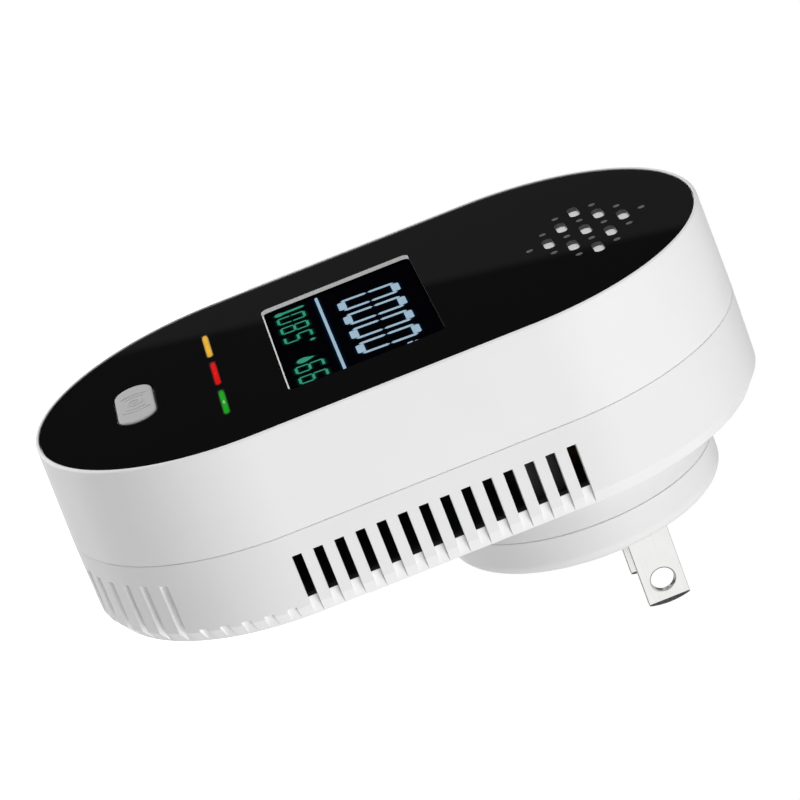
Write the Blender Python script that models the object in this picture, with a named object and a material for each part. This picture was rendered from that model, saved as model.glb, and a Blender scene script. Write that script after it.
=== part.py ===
"""Plug-in carbon monoxide detector, modelled as the pieces it comes apart into.

Axes: +X to the right of somebody reading the display, +Y towards the wall outlet, +Z up. The origin
is the centre of the plug's rear face, the face that rests against the outlet.

Every length is in millimetres. A depth is measured from the front face towards the wall, and a
height from the axis of the round plug. The frame empty carries depths and heights to the origin.
"""

import math

import bmesh
import bpy
from mathutils import Matrix, Vector

MM = 0.001

# Housing: a rounded slab whose two ends are half circles.
END_RADIUS = 30.0
STRAIGHT = 40.6
DRAFT = 0.027
SHELL_WALL = 2.0
PARTING_DEPTH = 14.9
SEAM_GAP = 0.3
CHAMFER_DEPTH = 25.8
REAR_EDGE_RADIUS = 28.87
REAR_DEPTH = 28.0
REAR_INNER_DEPTH = 26.0
ARC_STEPS = 26

# Front plate of the housing and the black panel that lies in it.
PANEL_RADIUS = 29.3
PANEL_FRONT = 0.15
PANEL_BACK = 0.75
PANEL_GAP = 0.2
PLATE_FRONT = 1.0
PLATE_BACK = 3.0

# Display window.
WINDOW_WIDTH = 36.4
WINDOW_HEIGHT = 23.2
WINDOW_Z = -22.5
DISPLAY_WIDTH = 36.0
DISPLAY_HEIGHT = 22.6
DISPLAY_SHIFT = 0.1
DISPLAY_DEPTH = 1.0

# Three signal bars in a row, and the test button below them.
BAR_PITCH = 12.5
BAR_Z = -43.1
BAR_STRAIGHT = 9.4
BAR_HALF = 0.5
BAR_SLOT_HALF = 0.7
BUTTON_Z = -55.3
BUTTON_STRAIGHT = 8.6
BUTTON_HALF = 2.85
BUTTON_PROUD = 0.15
BUTTON_SLOT_HALF = 3.1

# Sound grille: oblong openings on a slanted lattice, with small round ones between them.
GRILLE_X = 1.0
GRILLE_Z = 13.4
GRILLE_STEP_X = 4.45
GRILLE_STEP_Z = 2.85
GRILLE_HALF = 0.84
GRILLE_STRAIGHT = 3.1
GRILLE_DOT_RADIUS = 0.5
MESH_RADIUS = 11.6

# Vents: through slots along both sides, and blind grooves round the lower end.
VENT_COUNT = 14
VENT_PITCH = 3.085
VENT_FIRST_Z = -41.3
VENT_WIDTH = 1.4
VENT_TOP = 18.15
VENT_BOTTOM = 24.8
SHORT_GROOVES = 5
SHORT_GROOVE_STEP = 6.3
LONG_GROOVES = 15
LONG_GROOVE_STEP = 7.15
GROOVE_WIDTH = 1.4
GROOVE_SUNK = 0.85

# Round plug under the upper end.
COLLAR_RADIUS = 20.8
COLLAR_BORE = 19.2
LIP_BORE = 17.1
LIP_DEPTH = 32.2
COLLAR_DEPTH = 34.7
PLUG_DEPTH = 40.5
SPIGOT_RADIUS = 16.8
SPIGOT_DEPTH = 30.2

# Flat blades of a two-pin 15 A plug.
BLADE_SPACING = 12.7
BLADE_WIDTH = 6.35
BLADE_THICKNESS = 1.5
BLADE_RISE = 6.25
BLADE_LENGTH = 16.4
BLADE_HOLE_DEPTH = 12.4
BLADE_HOLE_RADIUS = 1.98
BLADE_TIP_RISE = 0.65
BLADE_TIP_BEVEL = 0.4

# Circuit board.
BOARD_RADIUS = 20.2
BOARD_BOTTOM = -42.0
BOARD_FRONT = 11.0
BOARD_BACK = 12.6
COMPONENT_GAP = 0.3

# Fasteners: (x, z) on the right-hand side, each with a twin on the left.
CASE_SCREWS = ((24.0, -6.0), (19.5, -55.0))
BOARD_SCREWS = ((16.5, -3.0), (16.5, -48.5))

WHITE = ((0.86, 0.86, 0.85), 0.42, 0.0)
WARM_WHITE = ((0.80, 0.80, 0.79), 0.45, 0.0)
GLOSS_BLACK = ((0.010, 0.010, 0.011), 0.08, 0.0)
DARK_PLASTIC = ((0.02, 0.02, 0.022), 0.45, 0.0)
BUTTON_GREY = ((0.42, 0.43, 0.44), 0.40, 0.0)
NICKEL = ((0.78, 0.77, 0.75), 0.22, 1.0)
BRASS = ((0.78, 0.60, 0.26), 0.28, 1.0)
STEEL = ((0.60, 0.60, 0.62), 0.35, 1.0)
BOARD_GREEN = ((0.02, 0.16, 0.07), 0.42, 0.0)
FERRITE = ((0.05, 0.05, 0.055), 0.60, 0.0)
FILM_BLUE = ((0.06, 0.20, 0.52), 0.40, 0.0)
RUBBER_BLACK = ((0.02, 0.02, 0.02), 0.85, 0.0)
MESH_WHITE = ((0.82, 0.82, 0.80), 0.75, 0.0)
AMBER = ((0.95, 0.62, 0.06), 0.25, 0.0)
RED = ((0.85, 0.03, 0.03), 0.25, 0.0)
GREEN = ((0.05, 0.62, 0.10), 0.25, 0.0)
SLEEVE_BLACK = ((0.015, 0.015, 0.03), 0.35, 0.0)
LABEL_SILVER = ((0.66, 0.66, 0.68), 0.30, 1.0)


# Outlines are lists of (x, z) points, counter-clockwise seen from the front.


def arc(centre, radius, start, end, steps):
    """Points on an arc, with both ends, angles in degrees from +x towards +z."""
    angles = [math.radians(start + (end - start) * i / steps) for i in range(steps + 1)]
    return [(centre[0] + radius * math.cos(a), centre[1] + radius * math.sin(a)) for a in angles]


def circle(radius, centre=(0.0, 0.0), steps=32):
    return arc(centre, radius, 0, 360, steps)[:-1]


def upright_stadium(radius, bottom=-STRAIGHT, steps=ARC_STEPS):
    """Half circles about (0, 0) and (0, bottom), joined by straight sides."""
    return arc((0, 0), radius, 0, 180, steps) + arc((0, bottom), radius, 180, 360, steps)


def level_stadium(half, straight, centre=(0.0, 0.0), steps=8):
    """A pill lying along x: half its height, and the length of its straight part."""
    right = arc((centre[0] + straight / 2, centre[1]), half, -90, 90, steps)
    left = arc((centre[0] - straight / 2, centre[1]), half, 90, 270, steps)
    return right + left


def rounded_rectangle(width, height, corner, centre=(0.0, 0.0), steps=3):
    points = []
    for sign_x, sign_z, start in ((1, 1, 0), (-1, 1, 90), (-1, -1, 180), (1, -1, 270)):
        middle = (
            centre[0] + sign_x * (width / 2 - corner),
            centre[1] + sign_z * (height / 2 - corner),
        )
        points += arc(middle, corner, start, start + 90, steps)
    return points


def in_depth(point, depth):
    return Vector((point[0], depth, point[1])) * MM


# Bodies. Each builder adds one closed shape to a bmesh.


def add_swept(bm, profile, outline, closed=False):
    """Rings of outline(radius) at each (radius, depth) of a profile, skinned one to the next.

    The first and last rings are capped, unless the profile closes on itself.
    """
    rings = [[bm.verts.new(in_depth(p, depth)) for p in outline(radius)] for radius, depth in profile]
    pairs = list(zip(rings, rings[1:]))
    if closed:
        pairs.append((rings[-1], rings[0]))
    for ring, following in pairs:
        for i in range(len(ring)):
            j = (i + 1) % len(ring)
            bm.faces.new((ring[i], ring[j], following[j], following[i]))
    if not closed:
        bm.faces.new(rings[0])
        bm.faces.new(rings[-1])


def add_prism(bm, outline, front, back):
    add_swept(bm, [(0, front), (0, back)], lambda _: outline)


def add_plate(bm, outline, holes, front, back):
    """A flat plate with holes through it."""
    edges = []
    for loop in [outline, *holes]:
        verts = [bm.verts.new(in_depth(p, front)) for p in loop]
        edges += [bm.edges.new((verts[i - 1], verts[i])) for i in range(len(verts))]
    filled = bmesh.ops.triangle_fill(bm, use_beauty=True, edges=edges, normal=(0, 1, 0))
    faces = [g for g in filled["geom"] if isinstance(g, bmesh.types.BMFace)]
    raised = bmesh.ops.extrude_face_region(bm, geom=faces)
    moved = [g for g in raised["geom"] if isinstance(g, bmesh.types.BMVert)]
    bmesh.ops.translate(bm, verts=moved, vec=(0, (back - front) * MM, 0))


def add_turned(bm, profile, steps=32, centre=(0.0, 0.0), closed=False):
    """A body of revolution about a line along y, from (radius, depth) points."""
    add_swept(bm, profile, lambda radius: circle(radius, centre, steps), closed)


def add_box(bm, low, high):
    """A box between two (x, depth, z) corners."""
    outline = [(low[0], low[2]), (high[0], low[2]), (high[0], high[2]), (low[0], high[2])]
    add_prism(bm, outline, low[1], high[1])


def add_across(bm, outline, width, turn=Matrix()):
    """Extrudes an (x, depth) outline across a width in z, then turns it into place."""
    sides = []
    for offset in (-width / 2, width / 2):
        points = [turn @ (Vector((x, depth, offset)) * MM) for x, depth in outline]
        sides.append([bm.verts.new(p) for p in points])
    bm.faces.new(sides[0])
    bm.faces.new(sides[1])
    for i in range(len(outline)):
        j = (i + 1) % len(outline)
        bm.faces.new((sides[0][i], sides[0][j], sides[1][j], sides[1][i]))


# Objects.


def principled(name, look):
    colour, roughness, metallic = look
    material = bpy.data.materials.new(name)
    material.use_nodes = True
    shader = material.node_tree.nodes["Principled BSDF"]
    shader.inputs["Base Color"].default_value = (*colour, 1.0)
    shader.inputs["Roughness"].default_value = roughness
    shader.inputs["Metallic"].default_value = metallic
    return material


def empty(name, location=(0.0, 0.0, 0.0), parent=None):
    holder = bpy.data.objects.new(name, None)
    holder.location = Vector(location) * MM
    holder.parent = parent
    bpy.context.collection.objects.link(holder)
    return holder


def finish(name, bm, parent, location=(0.0, 0.0, 0.0), look=None, bevel=0.0):
    """Makes the bmesh an object at (x, depth, z) under its parent. With no look it is a helper."""
    bmesh.ops.recalc_face_normals(bm, faces=bm.faces)
    mesh = bpy.data.meshes.new(name)
    bm.to_mesh(mesh)
    bm.free()
    mesh.shade_smooth()
    mesh.set_sharp_from_angle(angle=math.radians(35))
    obj = bpy.data.objects.new(name, mesh)
    obj.location = Vector(location) * MM
    obj.parent = parent
    bpy.context.collection.objects.link(obj)
    if look is None:
        obj.hide_render = True
        obj.display_type = "WIRE"
    else:
        mesh.materials.append(principled(name, look))
    if bevel:
        soften = obj.modifiers.new("soft_edges", "BEVEL")
        soften.width = bevel * MM
        soften.segments = 1
        soften.limit_method = "ANGLE"
        soften.angle_limit = math.radians(40)
    return obj


def boolean(target, other, operation):
    step = target.modifiers.new(other.name, "BOOLEAN")
    step.operation = operation
    step.solver = "EXACT"
    step.object = other


def both_sides(spots):
    return [(sign * x, z) for x, z in spots for sign in (1, -1)]


# Housing.


def wall_radius(depth):
    """The outer wall leans out a little as far as the parting line, then runs straight back."""
    return END_RADIUS + DRAFT * min(depth, PARTING_DEPTH)


def grille_spots():
    """Centres of the nine oblong openings and of the small round ones between them."""
    large = [(i, j) for i in (-1, 0, 1) for j in (-1, 0, 1)]
    steps = (-1.5, -0.5, 0.5, 1.5)
    small = [(i, j) for i in steps for j in steps if abs(i + j) < 3]

    def place(spot):
        across = GRILLE_X + GRILLE_STEP_X * (spot[0] + spot[1])
        return (across, GRILLE_Z + GRILLE_STEP_Z * (spot[0] - spot[1]))

    return [place(s) for s in large], [place(s) for s in small]


def front_shell(frame):
    rim = PANEL_RADIUS + PANEL_GAP
    edge = PARTING_DEPTH - SEAM_GAP / 2
    tongue_slot = wall_radius(edge) - 0.95
    inner = wall_radius(edge) - SHELL_WALL - 0.2
    profile = [
        (rim, PLATE_FRONT),
        (rim, 0.12),
        (rim + 0.12, 0.0),
        (END_RADIUS - 0.3, 0.0),
        (END_RADIUS - 0.08, 0.1),
        (END_RADIUS, 0.35),
        (wall_radius(edge), edge),
        (tongue_slot, edge),
        (tongue_slot, 13.2),
        (inner, 13.2),
        (inner, PLATE_BACK),
    ]
    bm = bmesh.new()
    add_swept(bm, profile, upright_stadium)
    shell = finish("front_shell", bm, frame, look=WHITE)

    bm = bmesh.new()
    for spot in both_sides(CASE_SCREWS):
        add_turned(bm, [(2.75, PLATE_BACK - 0.3), (2.75, 14.4)], 20, spot)
    for spot in both_sides(BOARD_SCREWS):
        add_turned(bm, [(2.25, PLATE_BACK - 0.3), (2.25, BOARD_FRONT - COMPONENT_GAP)], 16, spot)
    boolean(shell, finish("front_posts", bm, frame), "UNION")

    bm = bmesh.new()
    for spot in both_sides(CASE_SCREWS):
        add_turned(bm, [(1.5, 5.0), (1.5, 15.0)], 12, spot)
    for spot in both_sides(BOARD_SCREWS):
        add_turned(bm, [(1.2, 4.6), (1.2, 12.0)], 12, spot)
    window = rounded_rectangle(40.8, 27.8, 0.8, (0, WINDOW_Z))
    add_prism(bm, window, 0.0, PLATE_BACK + 1)
    for x in (-BAR_PITCH, 0, BAR_PITCH):
        add_prism(bm, level_stadium(BAR_SLOT_HALF, BAR_STRAIGHT, (x, BAR_Z), 4), 0.0, PLATE_BACK + 1)
    slot = level_stadium(BUTTON_SLOT_HALF, BUTTON_STRAIGHT, (0, BUTTON_Z))
    add_prism(bm, slot, 0.0, PLATE_BACK + 1)
    for spot in grille_spots()[0]:
        add_turned(bm, [(0.9, 0.0), (0.9, PLATE_BACK + 1)], 10, spot)
    boolean(shell, finish("front_openings", bm, frame), "DIFFERENCE")

    bm = bmesh.new()
    add_turned(bm, [(MESH_RADIUS + 0.3, 0.5), (MESH_RADIUS + 0.3, 1.7)], 40, (GRILLE_X, GRILLE_Z))
    boolean(shell, finish("mesh_pocket", bm, frame), "DIFFERENCE")


def face_panel(frame):
    large, small = grille_spots()
    window = rounded_rectangle(WINDOW_WIDTH, WINDOW_HEIGHT, 1.1, (0, WINDOW_Z))
    holes = [window, level_stadium(BUTTON_SLOT_HALF, BUTTON_STRAIGHT, (0, BUTTON_Z))]
    for x in (-BAR_PITCH, 0, BAR_PITCH):
        holes.append(level_stadium(BAR_SLOT_HALF, BAR_STRAIGHT, (x, BAR_Z), 4))
    holes += [level_stadium(GRILLE_HALF, GRILLE_STRAIGHT, spot, 6) for spot in large]
    holes += [circle(GRILLE_DOT_RADIUS, spot, 10) for spot in small]
    bm = bmesh.new()
    add_plate(bm, upright_stadium(PANEL_RADIUS), holes, PANEL_FRONT, PANEL_BACK)
    finish("face_panel", bm, frame, look=GLOSS_BLACK)


def groove_floor():
    """Start and end, as (radius, depth), of the floor that rises to meet the rear chamfer's edge."""
    run = wall_radius(CHAMFER_DEPTH) - REAR_EDGE_RADIUS
    fall = REAR_DEPTH - CHAMFER_DEPTH
    slope = math.hypot(run, fall)
    start = Vector((wall_radius(CHAMFER_DEPTH), CHAMFER_DEPTH)) - Vector((fall, run)) * GROOVE_SUNK / slope
    meets = Vector((REAR_EDGE_RADIUS + 0.07 * run, REAR_DEPTH - 0.07 * fall))
    return tuple(start), tuple(start + (meets - start) * 1.3)


def straight_side_turns():
    """Placements at each vent slot, on both sides."""
    for i in range(VENT_COUNT):
        lift = Matrix.Translation(Vector((0, 0, VENT_FIRST_Z + VENT_PITCH * i)) * MM)
        yield lift
        yield lift @ Matrix.Rotation(math.pi, 4, "Y")


def end_turn(degrees):
    """Placement on the lower end, at an angle below the horizontal on the right-hand side."""
    centre = Matrix.Translation(Vector((0, 0, -STRAIGHT)) * MM)
    return centre @ Matrix.Rotation(math.radians(degrees), 4, "Y")


def vent_cutters(frame):
    start, end = groove_floor()
    out = wall_radius(REAR_DEPTH) + 1.5
    slot_outline = [(27.0, VENT_TOP), (out, VENT_TOP), (out, end[1]), end, start]
    slot_outline += [(start[0], VENT_BOTTOM), (27.0, VENT_BOTTOM)]
    slots = bmesh.new()
    for turn in straight_side_turns():
        add_across(slots, slot_outline, VENT_WIDTH, turn)

    brow = (wall_radius(CHAMFER_DEPTH) + 0.1, CHAMFER_DEPTH - 0.5)
    short = [(out, brow[1]), brow, (start[0] + 0.1, CHAMFER_DEPTH - 0.1), end, (out, end[1])]
    end_groove = bmesh.new()
    for i in range(SHORT_GROOVES):
        angle = 1.5 + SHORT_GROOVE_STEP * (i + 1)
        for degrees in (angle, 180 - angle):
            add_across(end_groove, short, GROOVE_WIDTH, end_turn(degrees))
    floor = wall_radius(CHAMFER_DEPTH) - 0.7
    long_outline = [(out, VENT_TOP), (wall_radius(VENT_TOP), VENT_TOP), (floor, VENT_TOP + 0.8)]
    long_outline += [(floor, start[1]), end, (out, end[1])]
    for i in range(LONG_GROOVES):
        degrees = 90 + LONG_GROOVE_STEP * (i - (LONG_GROOVES - 1) / 2)
        add_across(end_groove, long_outline, GROOVE_WIDTH, end_turn(degrees))
    return finish("vent_slots", slots, frame), finish("end_grooves", end_groove, frame)


def rear_shell(frame):
    edge = PARTING_DEPTH + SEAM_GAP / 2
    inner = wall_radius(edge) - SHELL_WALL - 0.1
    tongue = wall_radius(edge) - 1.25
    profile = [
        (inner, REAR_INNER_DEPTH),
        (inner, 13.5),
        (tongue, 13.5),
        (tongue, edge),
        (wall_radius(edge), edge),
        (wall_radius(CHAMFER_DEPTH), CHAMFER_DEPTH),
        (REAR_EDGE_RADIUS, REAR_DEPTH),
    ]
    bm = bmesh.new()
    add_swept(bm, profile, upright_stadium)
    shell = finish("rear_shell", bm, frame, look=WARM_WHITE)

    bm = bmesh.new()
    add_turned(bm, [(COLLAR_RADIUS, 27.0), (COLLAR_RADIUS, COLLAR_DEPTH - SEAM_GAP / 2)], 52)
    for spot in both_sides(CASE_SCREWS):
        add_turned(bm, [(3.8, 14.8), (3.8, 27.0)], 20, spot)
    boolean(shell, finish("rear_additions", bm, frame), "UNION")

    bm = bmesh.new()
    add_turned(
        bm,
        [(COLLAR_BORE, 25.0), (COLLAR_BORE, LIP_DEPTH), (LIP_BORE, LIP_DEPTH), (LIP_BORE, 36.0)],
        44,
    )
    for spot in both_sides(CASE_SCREWS):
        add_turned(bm, [(1.5, 14.0), (1.5, 20.0), (2.7, 20.0), (2.7, 29.0)], 16, spot)
    boolean(shell, finish("rear_bores", bm, frame), "DIFFERENCE")

    for cutter in vent_cutters(frame):
        boolean(shell, cutter, "DIFFERENCE")


# Display.


def display(frame):
    middle = (0.0, WINDOW_Z + DISPLAY_SHIFT)
    bm = bmesh.new()
    hole = rounded_rectangle(DISPLAY_WIDTH + 0.4, DISPLAY_HEIGHT + 0.4, 0.4, (0, DISPLAY_SHIFT))
    add_plate(bm, rounded_rectangle(40.2, 27.2, 0.6), [hole], 0.0, 6.0)
    finish("lcd_bezel", bm, frame, (0, DISPLAY_DEPTH - 0.1, WINDOW_Z), WHITE)

    bm = bmesh.new()
    add_prism(bm, rounded_rectangle(DISPLAY_WIDTH, DISPLAY_HEIGHT, 0.3), 0.0, 2.5)
    finish("lcd_glass", bm, frame, (0, DISPLAY_DEPTH, middle[1]), GLOSS_BLACK)

    bm = bmesh.new()
    add_box(bm, (-17.6, 0.0, -10.8), (17.6, 2.9, 10.8))
    finish("lcd_backlight", bm, frame, (0, DISPLAY_DEPTH + 2.8, middle[1]), WHITE, bevel=0.3)

    bm = bmesh.new()
    add_box(bm, (-15.0, 0.0, -0.9), (15.0, 3.5, 0.9))
    finish("lcd_pin_header", bm, frame, (0, 7.2, middle[1] - 9.4), DARK_PLASTIC, bevel=0.2)


# Signal lights.


def signal_lights(frame):
    pipe = [
        (BAR_HALF, PANEL_FRONT + 0.05),
        (BAR_HALF, 3.4),
        (BAR_HALF + 0.5, 3.4),
        (BAR_HALF + 0.5, 4.2),
        (BAR_HALF, 4.2),
        (BAR_HALF, 9.6),
    ]
    for i, (colour, look) in enumerate((("amber", AMBER), ("red", RED), ("green", GREEN))):
        x = BAR_PITCH * (i - 1)
        bm = bmesh.new()
        add_swept(bm, pipe, lambda half: level_stadium(half, BAR_STRAIGHT, steps=6))
        finish(f"light_pipe_{colour}", bm, frame, (x, 0, BAR_Z), look)
        bm = bmesh.new()
        add_box(bm, (-1.6, 0.0, -0.8), (1.6, 0.8, 0.8))
        finish(f"led_{colour}", bm, frame, (x, 9.9, BAR_Z), look, bevel=0.15)


# Test button and the switch it presses.


def test_button(axis):
    cap = [
        (BUTTON_HALF - 0.55, -BUTTON_PROUD),
        (BUTTON_HALF - 0.18, -BUTTON_PROUD + 0.1),
        (BUTTON_HALF, -BUTTON_PROUD + 0.4),
        (BUTTON_HALF, PLATE_BACK + 0.4),
        (BUTTON_HALF + 1.1, PLATE_BACK + 0.4),
        (BUTTON_HALF + 1.1, PLATE_BACK + 1.3),
    ]
    bm = bmesh.new()
    add_swept(bm, cap, lambda half: level_stadium(half, BUTTON_STRAIGHT, steps=10))
    button = finish("test_button", bm, axis, look=BUTTON_GREY)
    bm = bmesh.new()
    add_turned(bm, [(1.6, PLATE_BACK + 1.0), (1.6, 5.7)], 16)
    boolean(button, finish("button_stem", bm, axis), "UNION")


def switch(frame, axis):
    bm = bmesh.new()
    add_box(bm, (-3.0, 0.0, -3.0), (3.0, 3.5, 3.0))
    body = finish("switch_body", bm, frame, (0, 7.2, BUTTON_Z), DARK_PLASTIC, bevel=0.25)
    bm = bmesh.new()
    add_turned(bm, [(1.8, -1.0), (1.8, 2.2)], 20)
    boolean(body, finish("switch_bore", bm, frame, (0, 7.2, BUTTON_Z)), "DIFFERENCE")
    bm = bmesh.new()
    add_turned(bm, [(1.2, 0.0), (1.5, 0.3), (1.5, 1.9)], 20)
    finish("switch_plunger", bm, axis, (0, 6.0, 0), STEEL)


# Circuit board and what stands on it.


def main_board(frame):
    bm = bmesh.new()
    holes = [circle(1.3, spot, 12) for spot in both_sides(BOARD_SCREWS)]
    add_plate(bm, upright_stadium(BOARD_RADIUS, BOARD_BOTTOM, 16), holes, BOARD_FRONT, BOARD_BACK)
    finish("main_board", bm, frame, look=BOARD_GREEN)


def sounder(frame):
    bm = bmesh.new()
    profile = [(1.3, 2.0), (1.3, 0.0), (10.4, 0.0), (11.0, 0.6), (11.0, 6.1)]
    add_turned(bm, profile, 36)
    finish("alarm_sounder", bm, frame, (GRILLE_X, 4.6, GRILLE_Z), DARK_PLASTIC)

    bm = bmesh.new()
    add_turned(bm, [(8.2, 0.0), (10.4, 0.0), (10.4, 1.0), (8.2, 1.0)], 32, closed=True)
    finish("sounder_gasket", bm, frame, (GRILLE_X, 3.3, GRILLE_Z), RUBBER_BLACK)

    bm = bmesh.new()
    add_turned(bm, [(MESH_RADIUS, 0.0), (MESH_RADIUS, 0.3)], 36)
    finish("sounder_mesh", bm, frame, (GRILLE_X, 0.9, GRILLE_Z), MESH_WHITE)


def gas_sensor(frame):
    seat = BOARD_BACK + COMPONENT_GAP
    profile = [(8.5, 0.0), (8.5, 8.6), (8.1, 9.0), (5.0, 9.0), (5.0, 11.0), (1.2, 11.0), (1.2, 10.0)]
    bm = bmesh.new()
    add_turned(bm, profile, 36)
    finish("co_sensor", bm, frame, (0, seat, -51.0), WHITE)

    bm = bmesh.new()
    add_box(bm, (-1.5, 0.0, -1.5), (1.5, 1.1, 1.5))
    humidity = finish("humidity_sensor", bm, frame, (-17.0, seat, -36.0), DARK_PLASTIC, bevel=0.15)
    bm = bmesh.new()
    add_turned(bm, [(0.6, 0.7), (0.6, 1.6)], 12)
    boolean(humidity, finish("humidity_port", bm, frame, (-17.0, seat, -36.0)), "DIFFERENCE")


def add_flat_bodied(bm, width, height, tall, corner):
    add_prism(bm, rounded_rectangle(width, height, corner), 0.0, tall)


def power_parts(frame):
    seat = BOARD_BACK + COMPONENT_GAP
    bm = bmesh.new()
    add_box(bm, (-6.5, 0.0, -5.5), (6.5, 1.6, 5.5))
    add_box(bm, (-6.5, 8.9, -5.5), (6.5, 10.5, 5.5))
    core = finish("transformer", bm, frame, (-9.5, seat, -25.0), FERRITE)
    bm = bmesh.new()
    add_box(bm, (-5.0, 1.0, -4.4), (5.0, 9.4, 4.4))
    boolean(core, finish("transformer_winding", bm, frame, (-9.5, seat, -25.0)), "UNION")

    bm = bmesh.new()
    add_turned(bm, [(4.6, 0.0), (5.0, 0.4), (5.0, 11.2), (4.5, 11.7), (3.6, 11.7), (3.4, 11.4)], 28)
    finish("filter_capacitor", bm, frame, (12.0, seat, -36.0), SLEEVE_BLACK)

    bm = bmesh.new()
    add_flat_bodied(bm, 13.0, 5.0, 10.0, 0.8)
    finish("film_capacitor", bm, frame, (8.0, seat, -15.0), FILM_BLUE)

    bm = bmesh.new()
    profile = [(1.4, -4.6), (1.8, -4.6), (1.8, -3.0), (1.5, -3.0), (1.5, 3.0), (1.8, 3.0), (1.8, 4.6)]
    add_turned(bm, profile + [(1.4, 4.6)], 16)
    fuse = finish("fuse", bm, frame, (-9.0, seat + 2.1, -11.5), LABEL_SILVER)
    fuse.rotation_euler = (0, 0, math.radians(90))

    bm = bmesh.new()
    add_turned(bm, [(3.4, -1.6), (4.0, -1.0), (4.0, 1.0), (3.4, 1.6)], 24)
    varistor = finish("varistor", bm, frame, (-16.0, seat + 4.3, -14.0), FILM_BLUE)
    varistor.rotation_euler = (0, 0, math.radians(90))

    bm = bmesh.new()
    add_box(bm, (-2.4, 0.0, -3.2), (2.4, 2.4, 3.2))
    finish("bridge_rectifier", bm, frame, (14.5, seat, -24.5), DARK_PLASTIC, bevel=0.3)

    bm = bmesh.new()
    add_box(bm, (-3.5, 0.0, -3.5), (3.5, 1.2, 3.5))
    finish("microcontroller", bm, frame, (5.0, seat, -24.5), DARK_PLASTIC, bevel=0.2)


def contact_spring(name, frame, x):
    """A folded strip that stands on the board and presses on one ring of the plug."""
    top, thick = 16.0, 0.6
    side = math.copysign(1.0, x)
    fold = [(0.0, 0.0), (0.0, top - 4.0), (2.2, top - 2.0), (0.0, top)]
    back = [(thick, top), (2.2 + thick, top - 2.0), (thick, top - 4.3), (thick, thick)]
    outline = [(-side * away, depth) for away, depth in [(2.2, 0.0), *fold, *back, (2.2, thick)]]
    bm = bmesh.new()
    add_across(bm, outline, 3.0)
    finish(name, bm, frame, (x, BOARD_BACK + COMPONENT_GAP, 0.0), BRASS)


# Plug that turns in the collar.


def plug(turret):
    edge = COLLAR_DEPTH + SEAM_GAP / 2
    profile = [
        (15.2, SPIGOT_DEPTH),
        (15.2, LIP_DEPTH - 0.3),
        (SPIGOT_RADIUS, LIP_DEPTH - 0.3),
        (SPIGOT_RADIUS, edge),
        (COLLAR_RADIUS, edge),
    ]
    round_edge = 2.4
    for i in range(6):
        angle = math.radians(90 * i / 5)
        radius = COLLAR_RADIUS - round_edge * (1 - math.cos(angle))
        profile.append((radius, PLUG_DEPTH - round_edge * (1 - math.sin(angle))))
    bm = bmesh.new()
    add_turned(bm, profile, 52)
    disc = finish("plug_disc", bm, turret, look=WARM_WHITE)
    bm = bmesh.new()
    for sign in (1, -1):
        middle = (sign * BLADE_SPACING / 2, BLADE_RISE)
        slot = rounded_rectangle(BLADE_THICKNESS + 0.4, BLADE_WIDTH + 0.4, 0.1, middle, 1)
        add_prism(bm, slot, SPIGOT_DEPTH - 1, PLUG_DEPTH + 1)
    boolean(disc, finish("blade_slots", bm, turret), "DIFFERENCE")

    bm = bmesh.new()
    ring = [(15.4, SPIGOT_DEPTH), (18.7, SPIGOT_DEPTH), (18.7, LIP_DEPTH - 0.3), (15.4, LIP_DEPTH - 0.3)]
    add_turned(bm, ring, 44, closed=True)
    finish("plug_retainer", bm, turret, look=DARK_PLASTIC)


def blade(name, turret, sign):
    """One blade, drawn flat in z and depth, given its thickness along x, and bevelled at the tip."""
    half = BLADE_WIDTH / 2
    tip = PLUG_DEPTH + BLADE_LENGTH
    shoulder = tip - BLADE_TIP_RISE
    rounding = [(half, shoulder), (0.66 * half, tip - 0.4 * BLADE_TIP_RISE), (0.3 * half, tip)]
    outline = [(-half, SPIGOT_DEPTH), (half, SPIGOT_DEPTH), *rounding]
    outline += [(-z, depth) for z, depth in reversed(rounding)]
    hole = circle(BLADE_HOLE_RADIUS, (0, PLUG_DEPTH + BLADE_HOLE_DEPTH), 24)
    bm = bmesh.new()
    add_plate(bm, outline, [hole], -BLADE_THICKNESS / 2, BLADE_THICKNESS / 2)
    upright = Matrix(((0, 1, 0), (0, 0, 1), (1, 0, 0))).to_4x4()
    bmesh.ops.transform(bm, matrix=upright, verts=bm.verts)
    middle = (sign * BLADE_SPACING / 2, 0, BLADE_RISE)
    body = finish(name, bm, turret, middle, NICKEL, bevel=0.15)

    face = BLADE_THICKNESS / 2
    slope = BLADE_TIP_BEVEL / BLADE_TIP_RISE
    wedge = [(face + slope, shoulder - 1), (face - slope, shoulder + 1), (face + 2, shoulder + 1)]
    bm = bmesh.new()
    add_across(bm, wedge, BLADE_WIDTH + 2)
    add_across(bm, wedge, BLADE_WIDTH + 2, Matrix.Rotation(math.pi, 4, "Y"))
    boolean(body, finish(f"{name}_bevels", bm, turret, middle), "DIFFERENCE")


def contact_ring(name, turret, inner, outer, tab_end, sign):
    """A flat ring on the plug's inner face, with a tab that reaches one blade."""
    front, back = SPIGOT_DEPTH - 1.0, SPIGOT_DEPTH - 0.3
    bm = bmesh.new()
    add_plate(bm, circle(outer, steps=36), [circle(inner, steps=36)], front, back)
    ring = finish(name, bm, turret, look=BRASS)
    middle = (inner + outer) / 2
    reach = sorted((middle, tab_end))
    bm = bmesh.new()
    add_box(bm, (reach[0], front, -1.2), (reach[1], back, 1.2))
    tab = finish(f"{name}_tab", bm, turret)
    tab.rotation_euler = (0, -math.atan2(BLADE_RISE, sign * BLADE_SPACING / 2), 0)
    boolean(ring, tab, "UNION")


# Screws.


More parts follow.
